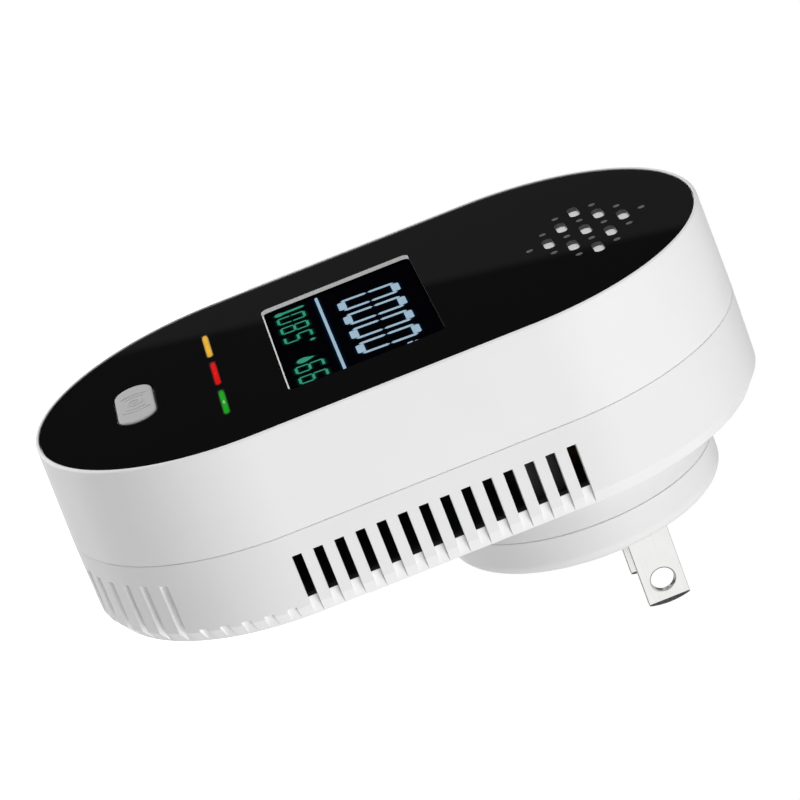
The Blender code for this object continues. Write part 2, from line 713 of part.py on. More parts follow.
def screws(frame):
    bm = bmesh.new()
    add_turned(bm, [(1.1, 0.0), (1.1, 13.0), (2.3, 13.0), (2.3, 14.4), (1.7, 14.9)], 16)
    pattern = finish("case_screw_pattern", bm, frame)
    for i, (x, z) in enumerate(both_sides(CASE_SCREWS)):
        add_copy(f"case_screw_{i + 1}", pattern, frame, (x, 7.3, z))
    bm = bmesh.new()
    add_turned(bm, [(0.9, 0.0), (0.9, 7.0), (1.9, 7.0), (1.9, 8.1), (1.5, 8.4)], 14)
    pattern = finish("board_screw_pattern", bm, frame)
    for i, (x, z) in enumerate(both_sides(BOARD_SCREWS)):
        add_copy(f"board_screw_{i + 1}", pattern, frame, (x, 5.9, z))


def add_copy(name, pattern, parent, location):
    mesh = pattern.data.copy()
    mesh.materials.append(principled(name, STEEL))
    obj = bpy.data.objects.new(name, mesh)
    obj.location = Vector(location) * MM
    obj.parent = parent
    bpy.context.collection.objects.link(obj)


def main():
    for old in list(bpy.data.objects):
        bpy.data.objects.remove(old)
    frame = empty("front_face_frame", (0, -PLUG_DEPTH, 0))
    turret = empty("turret_axis", parent=frame)
    button_axis = empty("button_axis", (0, 0, BUTTON_Z), frame)
    plunger_axis = empty("plunger_axis", (0, 0, BUTTON_Z), frame)

    front_shell(frame)
    face_panel(frame)
    rear_shell(frame)
    display(frame)
    signal_lights(frame)
    test_button(button_axis)
    switch(frame, plunger_axis)
    main_board(frame)
    sounder(frame)
    gas_sensor(frame)
    power_parts(frame)
    contact_spring("contact_spring_outer", frame, 13.5)
    contact_spring("contact_spring_inner", frame, -4.3)
    plug(turret)
    blade("blade_left", turret, -1)
    blade("blade_right", turret, 1)
    contact_ring("contact_ring_outer", turret, 12.2, 14.8, 7.6, 1)
    contact_ring("contact_ring_inner", turret, 3.2, 5.6, 9.6, -1)
    screws(frame)


main()
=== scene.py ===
"""Looks of the plug-in carbon monoxide detector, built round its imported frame.

Lengths are in millimetres until a point is placed. A depth is measured from the front face towards
the wall, heights and widths are the frame's own Z and X.
"""

import math

import bmesh
import bpy
from mathutils import Matrix, Vector


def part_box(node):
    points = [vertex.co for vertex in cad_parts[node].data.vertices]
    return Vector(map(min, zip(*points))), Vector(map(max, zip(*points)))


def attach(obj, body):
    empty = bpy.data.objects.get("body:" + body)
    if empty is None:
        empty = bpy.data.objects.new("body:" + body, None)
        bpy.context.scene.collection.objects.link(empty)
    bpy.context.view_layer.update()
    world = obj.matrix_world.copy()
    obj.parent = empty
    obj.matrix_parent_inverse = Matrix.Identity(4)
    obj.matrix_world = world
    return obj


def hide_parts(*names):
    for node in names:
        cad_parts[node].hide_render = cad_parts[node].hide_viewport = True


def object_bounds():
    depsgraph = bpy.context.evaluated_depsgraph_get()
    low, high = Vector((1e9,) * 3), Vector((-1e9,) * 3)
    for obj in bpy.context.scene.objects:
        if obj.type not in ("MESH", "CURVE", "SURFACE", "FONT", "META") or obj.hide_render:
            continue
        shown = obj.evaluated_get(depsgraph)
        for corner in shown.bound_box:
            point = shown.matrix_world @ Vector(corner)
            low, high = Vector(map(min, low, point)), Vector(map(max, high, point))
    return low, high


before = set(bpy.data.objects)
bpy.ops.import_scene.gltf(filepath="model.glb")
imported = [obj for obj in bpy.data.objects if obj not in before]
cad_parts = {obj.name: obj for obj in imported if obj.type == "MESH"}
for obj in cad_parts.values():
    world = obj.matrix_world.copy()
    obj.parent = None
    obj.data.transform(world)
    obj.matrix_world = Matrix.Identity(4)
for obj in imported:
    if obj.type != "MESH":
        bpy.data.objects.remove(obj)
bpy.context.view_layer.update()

MM = 0.001


def span(node):
    """Lowest and highest corner of a CAD node, in millimetres."""
    low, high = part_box(node)
    return low / MM, high / MM


def middle(node):
    low, high = span(node)
    return (low + high) / 2


def extent(node):
    low, high = span(node)
    return high - low


# Housing, read from the frame.
FACE = span("front_shell")[0].y
PANEL_RADIUS = span("face_panel")[1].x
PANEL_FRONT = span("face_panel")[0].y - FACE
PANEL_BACK = span("face_panel")[1].y - FACE
WALL_RADIUS = span("rear_shell")[1].x
LOWER_AXIS = span("rear_shell")[0].z + WALL_RADIUS
PARTING = span("front_shell")[1].y - FACE + 0.15
COLLAR_BACK = span("rear_shell")[1].y - FACE + 0.15
PLUG_RADIUS = span("plug_disc")[1].x
PLUG_BACK = span("plug_disc")[1].y - FACE
FRONT_RADIUS = WALL_RADIUS - 0.4
ARC_STEPS = 72

# Sections of the housing.
RIM_FILLET = 0.35
RIM_GAP = 0.15
RIM_BREAK = 0.08
SEAM = 0.09
TOUCH = 0.01
PLATE_FRONT = 1.0
PLATE_BACK = 3.0
FRONT_LIP = 0.9
FRONT_STEP_DEPTH = 13.2
REAR_LIP = 1.25
REAR_STEP_DEPTH = 13.5
CHAMFER_DEPTH = 25.8
REAR_EDGE_RADIUS = 28.87
REAR_DEPTH = 28.0
REAR_INNER_DEPTH = 26.0
INNER_RADIUS = 28.3
# Faces inside the shell nearer than this to the arc centres take near black as painted shade.
PAINTED_SHADE_REACH = WALL_RADIUS - 1.6

# Collar of the rear shell: it starts inside the shell, and its bore narrows to a lip.
COLLAR_START = 27.0
COLLAR_END = COLLAR_BACK - 0.02
COLLAR_BORE = (19.2, 25.0)
COLLAR_LIP = (17.1, 32.2)
COLLAR_CUT_END = 36.0
COLLAR_SIDE_REACH = 17.5

# Screw bosses and their stepped bores.
BOSS_RADIUS = 3.8
BOSS_DEPTH = 14.8
SHANK_BORE = (1.5, 14.0)
HEAD_BORE = (2.7, 20.0)
BORE_END = 29.0
BORE_REACH = 2.75

# Openings in the face. Cutters run past what they cut.
OVERSHOOT = 1.0
OPENING_START = 0.5
WINDOW = (36.4, 23.2, 1.1)
WINDOW_POCKET = (40.8, 27.8, 0.8)
# Edges of the window within this reach of its far side and of its lower side take painted light.
WINDOW_BRIGHT_REACH = 1.5
WINDOW_Z = middle("lcd_bezel").z
BAR_FLANGE = 0.5
BAR_FADE = 1.5
SPARK_REACH = 2.2
BAR_HALF = extent("light_pipe_red").z / 2 - BAR_FLANGE
BAR_STRAIGHT = extent("light_pipe_red").x - extent("light_pipe_red").z
BAR_SLOT_HALF = BAR_HALF + 0.2
BAR_PANEL_GAP = 0.03
BAR_ROUND = 0.3
BAR_FLANGE_DEPTHS = (3.4, 4.2)
BAR_BACK = 9.6
BUTTON_FLANGE = 1.1
BUTTON_HALF = extent("test_button").z / 2 - BUTTON_FLANGE
BUTTON_STRAIGHT = extent("test_button").x - extent("test_button").z
BUTTON_SLOT_HALF = BUTTON_HALF + 0.25
BUTTON_ROUND = 0.35
BUTTON_FLANGE_DEPTHS = (3.4, 4.3)
BUTTON_STEM_RADIUS = 1.6
BUTTON_STEM_DEPTH = 4.0
MARK_RISE = 0.11
MARK_ROOT = 0.1
MARK_STROKE = 0.4
MARK_SOFTEN = 0.07
MARK_SPOT = 0.38
MARK_RING = (1.25, 0.85)
MARK_WAVES = (2.2, 3.3)
MARK_WAVE_HALF_ANGLE = 34
GRILLE_STEP = (4.45, 2.85)
GRILLE_HALF = 0.76
GRILLE_STRAIGHT = 2.7
GRILLE_DOT_RADIUS = 0.5
GRILLE_POCKET_RADIUS = 11.9

# Vents and grooves of the rear shell.
VENT_COUNT = 14
VENT_PITCH = 3.085
VENT_FIRST_Z = -41.3
VENT_WIDTH = 1.4
VENT_TOP = 18.15
VENT_BOTTOM = 24.8
CUT_INNER_RADIUS = 27.0
CUT_OUTER_RADIUS = WALL_RADIUS + 1.5
GROOVE_SUNK = 0.85
GROOVE_END_SHARE = 0.07
GROOVE_OVERRUN = 1.3
GROOVE_BROW = 0.5
SHORT_GROOVES = 5
SHORT_GROOVE_STEP = 6.3
LONG_GROOVES = 15
LONG_GROOVE_STEP = 7.15
LONG_GROOVE_SUNK = 0.7
LONG_GROOVE_ROUND = 0.9

# Plug: a spigot that turns in the collar's lip, and the disc behind it.
SPIGOT_BORE = (15.2, 30.2)
SPIGOT = (16.8, 31.9)
DISC_ROUND = 2.2
BLADE_SLOT_GAP = 0.36
BLADE_SLOT_CORNER = 0.15
BLADE_SLOT_START = 29.0

# Blades and case screws.
BLADE_SOFTEN = 0.14
BLADE_TIP_RISE = 0.65
BLADE_TIP_BEVEL = 0.4
BEVEL_LEAD = 0.3
BLADE_HOLE_DEPTH = 12.4
BLADE_HOLE_RADIUS = 1.8
BLADE_HOLE_FLARE = ((0.36, -0.1), (0.24, 0.0), (0.07, 0.1), (0.0, 0.3))
SCREW_SHANK = 1.1
SCREW_HEAD = 2.3
SCREW_HEAD_LENGTH = 1.9
RECESS = (2.4, 0.5)
RECESS_DEPTH = 0.9

# What the display shows: digit heights are between stroke centres.
SLANT = 0.09
BIG_DIGIT = {"height": 8.2, "width": 4.1, "level": 1.2, "upright": 0.75, "pitch": 6.62}
SMALL_DIGIT = {"height": 3.95, "width": 2.5, "level": 0.4, "upright": 0.34, "pitch": 4.4}
SEGMENT_GAP = 0.09
SEGMENTS = {"0": "abcdef", "5": "acdfg", "6": "acdefg", "8": "abcdefg"}

# The lit parts stand this far in front of the cell, and each halo lies a little behind the last.
LIT_FRONT = 0.05
LIT_BACK = 0.02
HALO_FRONT = 0.015
HALO_STEP = 0.0001
HALO_REACH = 0.5

PALE_BLUE = (0.355, 0.505, 0.615)
BLUE_GLOW = (0.001, 0.010, 0.030)
MINT = (0.045, 0.34, 0.21)
MINT_GLOW = (0.0, 0.03, 0.016)

# Bars of light: colours of the core, the rim and the spark in the middle.
AMBER_LIGHT = ((0.80, 0.43, 0.035), (0.30, 0.21, 0.07), (0.84, 0.50, 0.06))
RED_LIGHT = ((0.66, 0.004, 0.005), (0.17, 0.005, 0.005), (0.85, 0.02, 0.02))
GREEN_LIGHT = ((0.012, 0.33, 0.012), (0.008, 0.11, 0.012), (0.45, 0.80, 0.36))

# Camera, from beside and a little in front of the detector, rolled so that the wall side is down.
CAMERA_PLACE = (446.0, -195.3, -28.9)
CAMERA_AHEAD = (-0.9349, 0.3545, 0.0187)
CAMERA_UP = (-0.3231, -0.8716, 0.3687)
LENS = 149.2

# Light: an even level and four suns as (towards the sun, strength, spread in degrees). The key is
# broad and from the right, the rear one lifts the surfaces that face the wall, the fill is low on the
# far left, and the front one is narrow and straight at the face, so that it leaves the walls alone.
AMBIENT = 0.32
KEY = ((0.81, 0.33, 0.47), 1.84, 50.0)
REAR = ((0.47, 0.84, 0.27), 1.05, 30.0)
FILL = ((-0.64, 0.0, -0.77), 2.75, 50.0)
FRONT = ((0.0, -1.0, 0.0), 1.63, 12.0)

# Studio seen in mirror surfaces: a card's soft edge in front, and three lit sides.
CARD_EDGE_NORMAL = (0.3173, -0.9359, -0.1528)
CARD_LEVELS = (0.058, 0.021)
CARD_SOFTNESS = 0.0015
OPEN_SIDE = (1.0, 0.0, 0.0)
OPEN_SIDE_LEVEL = 1.12
OVERHEAD = (0.0, 0.0, 1.0)
OVERHEAD_LEVEL = 0.7
FAR_SIDE = (-0.94, 0.34, 0.0)
FAR_SIDE_LEVEL = 0.8

FLOOR_REACH = 3.0
FLOOR_GAP = 0.0005


# Outlines: (x, z) points, counter-clockwise seen from the front.


def arc(centre, radius, start, end, steps):
    angles = [math.radians(start + (end - start) * i / steps) for i in range(steps + 1)]
    return [(centre[0] + radius * math.cos(a), centre[1] + radius * math.sin(a)) for a in angles]


def circle(radius, centre=(0.0, 0.0), steps=48):
    return arc(centre, radius, 0, 360, steps)[:-1]


def upright_stadium(radius):
    upper = arc((0, 0), radius, 0, 180, ARC_STEPS)
    return upper + arc((0, LOWER_AXIS), radius, 180, 360, ARC_STEPS)


def level_stadium(half, straight, centre=(0.0, 0.0), steps=16):
    right = arc((centre[0] + straight / 2, centre[1]), half, -90, 90, steps)
    left = arc((centre[0] - straight / 2, centre[1]), half, 90, 270, steps)
    return right + left


def rounded_rectangle(width, height, corner, centre=(0.0, 0.0), steps=6):
    points = []
    for sign_x, sign_z, start in ((1, 1, 0), (-1, 1, 90), (-1, -1, 180), (1, -1, 270)):
        spot = (
            centre[0] + sign_x * (width / 2 - corner),
            centre[1] + sign_z * (height / 2 - corner),
        )
        points += arc(spot, corner, start, start + 90, steps)
    return points


def at(x, depth, z):
    return Vector((x, FACE + depth, z)) * MM


# Shapes added to a bmesh.


def skin(bm, ring, following):
    """Faces between two loops of vertices."""
    for i in range(len(ring)):
        j = (i + 1) % len(ring)
        bm.faces.new((ring[i], ring[j], following[j], following[i]))


def add_swept(bm, profile, outline):
    """Rings of outline(radius) at each (radius, depth), skinned and capped at both ends."""
    rings = [[bm.verts.new(at(p[0], depth, p[1])) for p in outline(r)] for r, depth in profile]
    for ring, following in zip(rings, rings[1:]):
        skin(bm, ring, following)
    bm.faces.new(rings[0])
    bm.faces.new(rings[-1])


def add_prism(bm, outline, front, back):
    add_swept(bm, [(0, front), (0, back)], lambda _: outline)


def add_turned(bm, profile, centre=(0.0, 0.0), steps=96):
    add_swept(bm, profile, lambda radius: circle(radius, centre, steps))


def add_plate(bm, outline, holes, front, back):
    """A flat plate with holes through it."""
    edges = []
    for loop in [outline, *holes]:
        verts = [bm.verts.new(at(p[0], front, p[1])) for p in loop]
        edges += [bm.edges.new((verts[i - 1], verts[i])) for i in range(len(verts))]
    filled = bmesh.ops.triangle_fill(bm, use_beauty=True, edges=edges, normal=(0, 1, 0))
    faces = [g for g in filled["geom"] if isinstance(g, bmesh.types.BMFace)]
    raised = bmesh.ops.extrude_face_region(bm, geom=faces)
    moved = [g for g in raised["geom"] if isinstance(g, bmesh.types.BMVert)]
    bmesh.ops.translate(bm, verts=moved, vec=(0, (back - front) * MM, 0))


def add_radial(bm, outline, width, turn):
    """A (radius, depth) outline extruded across a width and turned into place about the Y axis."""
    sides = []
    for offset in (-width / 2, width / 2):
        sides.append([bm.verts.new(turn @ at(radius, depth, offset)) for radius, depth in outline])
    bm.faces.new(sides[0])
    bm.faces.new(sides[1])
    skin(bm, *sides)


# Objects.


def make_object(name, bm):
    bmesh.ops.recalc_face_normals(bm, faces=bm.faces)
    mesh = bpy.data.meshes.new(name)
    bm.to_mesh(mesh)
    bm.free()
    obj = bpy.data.objects.new(name, mesh)
    bpy.context.collection.objects.link(obj)
    return obj


def bake(obj, angle):
    """Applies the modifiers, and shades smooth up to an angle."""
    graph = bpy.context.evaluated_depsgraph_get()
    mesh = bpy.data.meshes.new_from_object(obj.evaluated_get(graph))
    obj.modifiers.clear()
    obj.data = mesh
    mesh.shade_smooth()
    mesh.set_sharp_from_angle(angle=math.radians(angle))


def cut(obj, tool, operation="DIFFERENCE"):
    step = obj.modifiers.new(tool.name, "BOOLEAN")
    step.operation = operation
    step.solver = "EXACT"
    step.object = tool
    tool.hide_render = True
    return tool


def soften(obj, width, segments):
    """Rounds every edge that is sharper than 40 degrees."""
    step = obj.modifiers.new("soft_edges", "BEVEL")
    step.width = width * MM
    step.segments = segments
    step.limit_method = "ANGLE"
    step.angle_limit = math.radians(40)


def settle(obj, body, node, materials, tools=(), angle=30):
    """Bakes a piece, gives it its materials and makes it ride on a body, in place of a node if given."""
    bake(obj, angle)
    for tool in tools:
        bpy.data.objects.remove(tool)
    faces = obj.data.polygons
    which = [face.material_index for face in faces]
    obj.data.materials.clear()
    for look in materials:
        obj.data.materials.append(look)
    faces.foreach_set("material_index", which)
    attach(obj, body)
    if node:
        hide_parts(node)
    return obj


# Materials. Every one is built from nodes, on the piece's own coordinates in metres.


class Look:
    """A material and short ways to add nodes to it."""

    def __init__(self, name, colour, roughness, metallic=0.0):
        self.material = bpy.data.materials.new(name)
        self.material.use_nodes = True
        self.tree = self.material.node_tree
        self.shader = self.tree.nodes["Principled BSDF"]
        self.set("Base Color", (*colour, 1.0))
        self.set("Roughness", roughness)
        self.set("Metallic", metallic)
        self.place = self.node("ShaderNodeTexCoord").outputs["Object"]

    def node(self, kind, **settings):
        made = self.tree.nodes.new(kind)
        for key, value in settings.items():
            setattr(made, key, value)
        return made

    def set(self, name, value):
        self.shader.inputs[name].default_value = value

    def link(self, output, target):
        target = self.shader.inputs[target] if isinstance(target, str) else target
        self.tree.links.new(output, target)

    def stretched(self, scale):
        mapping = self.node("ShaderNodeMapping")
        mapping.inputs["Scale"].default_value = scale
        self.link(self.place, mapping.inputs["Vector"])
        return mapping.outputs["Vector"]

    def noise(self, size, detail=2.0, stretch=(1, 1, 1)):
        """Noise whose features are about this many millimetres across."""
        made = self.node("ShaderNodeTexNoise")
        made.inputs["Scale"].default_value = 1 / (size * MM)
        made.inputs["Detail"].default_value = detail
        self.link(self.stretched(stretch), made.inputs["Vector"])
        return made.outputs["Fac"]

    def ranged(self, source, low, high, start=0.3, end=0.7):
        made = self.node("ShaderNodeMapRange")
        for key, value in (("From Min", start), ("From Max", end), ("To Min", low), ("To Max", high)):
            made.inputs[key].default_value = value
        self.link(source, made.inputs["Value"])
        return made.outputs["Result"]

    def math(self, operation, *values):
        made = self.node("ShaderNodeMath", operation=operation)
        for socket, value in zip(made.inputs, values):
            if isinstance(value, (int, float)):
                socket.default_value = value
            else:
                self.link(value, socket)
        return made.outputs["Value"]

    def tint(self, factor, low, high):
        """Base colour that runs between two colours."""
        made = self.mix(factor, (*low, 1.0), (*high, 1.0))
        self.link(made, "Base Color")

    def mix(self, factor, low, high):
        made = self.node("ShaderNodeMix", data_type="RGBA")
        self.link(factor, made.inputs["Factor"])
        for socket, value in ((made.inputs["A"], low), (made.inputs["B"], high)):
            if isinstance(value, tuple):
                socket.default_value = value
            else:
                self.link(value, socket)
        return made.outputs["Result"]

    def bump(self, height, distance, edge=0.0, strength=1.0):
        """Bump this many millimetres high, over edges that are rounded for shading."""
        made = self.node("ShaderNodeBump")
        made.inputs["Distance"].default_value = distance * MM
        made.inputs["Strength"].default_value = strength
        self.link(height, made.inputs["Height"])
        if edge:
            rounded = self.node("ShaderNodeBevel", samples=4)
            rounded.inputs["Radius"].default_value = edge * MM
            self.link(rounded.outputs["Normal"], made.inputs["Normal"])
        self.link(made.outputs["Normal"], "Normal")

    def emit(self, colour, strength):
        if isinstance(colour, tuple):
            self.set("Emission Color", (*colour, 1.0))
        else:
            self.link(colour, "Emission Color")
        if isinstance(strength, (int, float)):
            self.set("Emission Strength", strength)
        else:
            self.link(strength, "Emission Strength")


def shade(colour, factor):
    return tuple(channel * factor for channel in colour)


def moulded(name, colour, roughness=0.45, grain=0.16, depth=0.006, edge=0.12):
    """Moulded plastic: fine eroded grain, and faint uneven colour and gloss."""
    look = Look(name, colour, roughness)
    look.tint(look.noise(14.0), shade(colour, 0.975), shade(colour, 1.02))
    look.link(look.ranged(look.noise(5.0), roughness - 0.05, roughness + 0.06), "Roughness")
    look.bump(look.noise(grain, 1.0), depth, edge)
    return look.material


def gloss_black():
    """Clear panel printed black on its back: mirror smooth, with the faintest haze of handling."""
    look = Look("gloss_black", (0.0012, 0.0012, 0.0013), 0.015)
    haze = look.ranged(look.noise(9.0, 4.0), 0.002, 0.012, 0.45, 0.75)
    look.link(haze, "Roughness")
    look.bump(look.noise(18.0, 0.0), 0.0003)
    return look.material


def acrylic_edge(name, glow, painted_brightness=1.0):
    """Cut edge of the clear panel, showing the saw's lines. Its glow is painted light, and a brightness
    below one darkens it as painted shade.
    """
    look = Look(name, (0.52, 0.53, 0.54), 0.28)
    saw = look.noise(0.25, 2.0, (1, 0.1, 1))
    look.tint(saw, shade((0.40, 0.41, 0.42), painted_brightness), shade((0.60, 0.61, 0.62), painted_brightness))
    look.emit((1.0, 1.0, 1.0), look.ranged(saw, glow * 0.9, glow * 1.1))
    look.bump(saw, 0.01)
    return look.material


def cloth():
    """Plain-woven acoustic cloth."""
    look = Look("acoustic_cloth", (0.82, 0.82, 0.80), 0.8)
    waves = []
    for direction in ("X", "Z"):
        wave = look.node("ShaderNodeTexWave", bands_direction=direction)
        wave.inputs["Scale"].default_value = 1 / (0.9 * MM)
        look.link(look.place, wave.inputs["Vector"])
        waves.append(wave.outputs["Fac"])
    weave = look.math("MULTIPLY", *waves)
    look.tint(weave, (0.80, 0.80, 0.79), (0.97, 0.97, 0.96))
    look.bump(weave, 0.06)
    return look.material


def display_black():
    """Dark liquid-crystal cell under glass, with a trace of its unlit dots."""
    look = Look("display_black", (0.0008, 0.0008, 0.0012), 0.04)
    dots = look.node("ShaderNodeTexVoronoi")
    dots.inputs["Scale"].default_value = 1 / (0.35 * MM)
    look.link(look.place, dots.inputs["Vector"])
    look.tint(dots.outputs["Distance"], (0.0004, 0.0004, 0.0008), (0.0016, 0.0016, 0.0028))
    look.link(look.ranged(look.noise(7.0), 0.03, 0.07), "Roughness")
    look.set("Specular IOR Level", 0.0)
    return look.material


def lit_segment(name, colour, strength):
    """A lit part of the display: a fine dot screen over even light."""
    look = Look(name, (0.0, 0.0, 0.0), 0.5)
    dots = look.node("ShaderNodeTexVoronoi")
    dots.inputs["Scale"].default_value = 1 / (0.3 * MM)
    look.link(look.place, dots.inputs["Vector"])
    level = look.ranged(dots.outputs["Distance"], strength, strength * 0.82, 0.1, 0.6)
    look.emit(colour, level)
    look.set("Specular IOR Level", 0.0)
    return look.material


def halo(name, colour):
    """Light that spreads round the lit parts, fading outwards."""
    look = Look(name, (0.0, 0.0, 0.0), 1.0)
    fade = look.node("ShaderNodeAttribute", attribute_name="fade").outputs["Fac"]
    look.link(look.math("POWER", fade, 1.6), "Alpha")
    look.emit(colour, 1.0)
    look.set("Specular IOR Level", 0.0)
    return look.material


def light_pipe(name, spot, core, rim, spark):
    """Tinted light guide lit from behind: bright along its middle line, dull at its rim, with a spark."""
    look = Look(name, shade(core, 0.03), 0.3)
    look.set("Specular IOR Level", 0.15)
    axes = look.node("ShaderNodeSeparateXYZ")
    look.link(look.place, axes.inputs["Vector"])
    along = look.math("ABSOLUTE", look.math("SUBTRACT", axes.outputs["X"], spot[0] * MM))
    even = (BAR_STRAIGHT / 2 + BAR_HALF - BAR_FADE) * MM
    past_end = look.math("MAXIMUM", look.math("SUBTRACT", along, even), 0.0)
    past_end = look.math("DIVIDE", past_end, BAR_FADE * MM)
    across = look.math("SUBTRACT", axes.outputs["Z"], spot[1] * MM)
    across = look.math("DIVIDE", across, BAR_HALF * MM)
    squares = [look.math("MULTIPLY", value, value) for value in (past_end, across)]
    away = look.math("SQRT", look.math("ADD", *squares))
    colour = look.mix(look.ranged(away, 0.0, 1.0, 0.45, 0.95), (*core, 1.0), (*rim, 1.0))
    uneven = look.ranged(look.noise(1.6), 0.9, 1.08)
    from_middle = look.math("DIVIDE", along, SPARK_REACH * MM)
    from_middle = look.math("ADD", from_middle, look.math("ABSOLUTE", across))
    colour = look.mix(look.ranged(from_middle, 1.0, 0.0, 0.05, 0.5), colour, (*spark, 1.0))
    look.emit(colour, look.math("MULTIPLY", look.ranged(away, 1.0, 0.0, 0.82, 1.05), uneven))
    look.bump(look.noise(0.4), 0.004)
    return look.material


def metal(name, colour, roughness, stretch, depth=0.002, edge=0.1):
    """Metal with fine drawn lines along one axis and a little uneven dullness."""
    look = Look(name, colour, roughness, 1.0)
    lines = look.noise(0.35, 4.0, stretch)
    look.tint(look.noise(3.0, 3.0), shade(colour, 0.93), colour)
    look.link(look.ranged(lines, roughness * 0.75, roughness * 1.4), "Roughness")
    look.bump(lines, depth, edge)
    return look.material


def board():
    """Green solder mask over copper tracks."""
    look = Look("board_green", (0.02, 0.16, 0.07), 0.35)
    tracks = look.node("ShaderNodeTexBrick")
    tracks.inputs["Scale"].default_value = 1 / (9.0 * MM)
    tracks.inputs["Mortar Size"].default_value = 0.06
    look.link(look.place, tracks.inputs["Vector"])
    look.tint(tracks.outputs["Fac"], (0.006, 0.04, 0.018), (0.015, 0.085, 0.04))
    look.bump(tracks.outputs["Fac"], 0.03)
    look.set("Coat Weight", 0.3)
    return look.material


def coated(name, colour, roughness, coat=0.0):
    """Dipped, sleeved or pressed component bodies."""
    look = Look(name, colour, roughness)
    look.tint(look.noise(2.2, 3.0), shade(colour, 0.8), shade(colour, 1.15))
    look.link(look.ranged(look.noise(0.8), roughness * 0.85, roughness * 1.2), "Roughness")
    look.bump(look.noise(0.3), 0.01)
    look.set("Coat Weight", coat)
    return look.material


def foam():
    look = Look("closed_cell_foam", (0.02, 0.02, 0.02), 0.9)
    cells = look.node("ShaderNodeTexVoronoi")
    cells.inputs["Scale"].default_value = 1 / (0.4 * MM)
    look.link(look.place, cells.inputs["Vector"])
    look.tint(cells.outputs["Distance"], (0.01, 0.01, 0.01), (0.04, 0.04, 0.04))
    look.bump(cells.outputs["Distance"], 0.08)
    return look.material


# Housing pieces.


def grille_spots():
    """Centres of the oblong grille openings and of the small round ones between them."""
    centre = middle("sounder_mesh")
    large = [(i, j) for i in (-1, 0, 1) for j in (-1, 0, 1)]
    steps = (-1.5, -0.5, 0.5, 1.5)
    small = [(i, j) for i in steps for j in steps if abs(i + j) < 3]

    def place(spot):
        x = centre.x + GRILLE_STEP[0] * (spot[0] + spot[1])
        return (x, centre.z + GRILLE_STEP[1] * (spot[0] - spot[1]))

    return [place(s) for s in large], [place(s) for s in small]


def spot_of(node):
    centre = middle(node)
    return (centre.x, centre.z)


def bar_centres():
    return [spot_of(f"light_pipe_{colour}") for colour in ("amber", "red", "green")]


def button_centre():
    return spot_of("test_button")


def build_front_shell(white):
    rim = PANEL_RADIUS + RIM_GAP
    profile = [(rim, PLATE_FRONT), (rim, RIM_BREAK), (rim + RIM_BREAK, 0.0)]
    profile += arc((FRONT_RADIUS - RIM_FILLET, RIM_FILLET), RIM_FILLET, -90, 0, 8)
    lip = WALL_RADIUS - FRONT_LIP
    profile += [(WALL_RADIUS, PARTING - SEAM), (WALL_RADIUS - SEAM, PARTING - TOUCH)]
    profile += [(lip, PARTING - TOUCH)]
    profile += [(lip, FRONT_STEP_DEPTH), (INNER_RADIUS, FRONT_STEP_DEPTH), (INNER_RADIUS, PLATE_BACK)]
    bm = bmesh.new()
    add_swept(bm, profile, upright_stadium)
    shell = make_object("front_shell_skin", bm)

    outlines = [rounded_rectangle(*WINDOW_POCKET, (0, WINDOW_Z))]
    outlines += [level_stadium(BAR_SLOT_HALF, BAR_STRAIGHT, spot) for spot in bar_centres()]
    outlines.append(level_stadium(BUTTON_SLOT_HALF, BUTTON_STRAIGHT, button_centre()))
    outlines.append(circle(GRILLE_POCKET_RADIUS, spot_of("sounder_mesh"), 96))
    bm = bmesh.new()
    for outline in outlines:
        add_prism(bm, outline, OPENING_START, PLATE_BACK + OVERSHOOT)
    tool = cut(shell, make_object("front_openings", bm))
    settle(shell, "housing", "front_shell", [white], [tool])


def panel_look(face, dots):
    """0 is the black panel, 1 an edge of the window in painted light, 2 an edge in painted shade and 3
    the edge of a small hole, with a weaker painted glow and painted shade.
    """
    x, z = face.center.x / MM, face.center.z / MM
    width, height, _ = WINDOW
    if abs(face.normal.y) > 0.5 or reach_of(face) > PANEL_RADIUS - 1 or z < WINDOW_Z - height:
        return 0
    if any(math.hypot(x - dot[0], z - dot[1]) < GRILLE_DOT_RADIUS + 0.05 for dot in dots):
        return 3
    in_window = abs(z - WINDOW_Z) < height / 2 + 0.1
    far = x < WINDOW_BRIGHT_REACH - width / 2
    low = z < WINDOW_Z + WINDOW_BRIGHT_REACH - height / 2
    return 1 if in_window and (far or low) else 2


def build_face_panel(looks):
    large, small = grille_spots()
    holes = [rounded_rectangle(*WINDOW, (0, WINDOW_Z))]
    holes.append(level_stadium(BUTTON_SLOT_HALF, BUTTON_STRAIGHT, button_centre()))
    holes += [level_stadium(BAR_HALF + BAR_PANEL_GAP, BAR_STRAIGHT, spot) for spot in bar_centres()]
    holes += [level_stadium(GRILLE_HALF, GRILLE_STRAIGHT, spot) for spot in large]
    holes += [circle(GRILLE_DOT_RADIUS, spot, 24) for spot in small]
    bm = bmesh.new()
    add_plate(bm, upright_stadium(PANEL_RADIUS), holes, PANEL_FRONT, PANEL_BACK)
    panel = make_object("face_panel_gloss", bm)
    for face in panel.data.polygons:
        face.material_index = panel_look(face, small)
    materials = [looks[key] for key in ("black", "edge", "dim_edge", "dot_edge")]
    settle(panel, "housing", "face_panel", materials)


def reach_of(face):
    """How far a face is from the nearer of the housing's arc centres, or from the line between them."""
    x, z = face.center.x / MM, face.center.z / MM
    return math.hypot(x, z - min(max(z, LOWER_AXIS), 0.0))


def groove_floor():
    """Start and end, as (radius, depth), of the floor that rises to meet the rear chamfer's edge."""
    run = WALL_RADIUS - REAR_EDGE_RADIUS
    fall = REAR_DEPTH - CHAMFER_DEPTH
    slope = math.hypot(run, fall)
    start = Vector((WALL_RADIUS, CHAMFER_DEPTH)) - Vector((fall, run)) * GROOVE_SUNK / slope
    share = GROOVE_END_SHARE
    meets = Vector((REAR_EDGE_RADIUS + share * run, REAR_DEPTH - share * fall))
    return tuple(start), tuple(start + (meets - start) * GROOVE_OVERRUN)


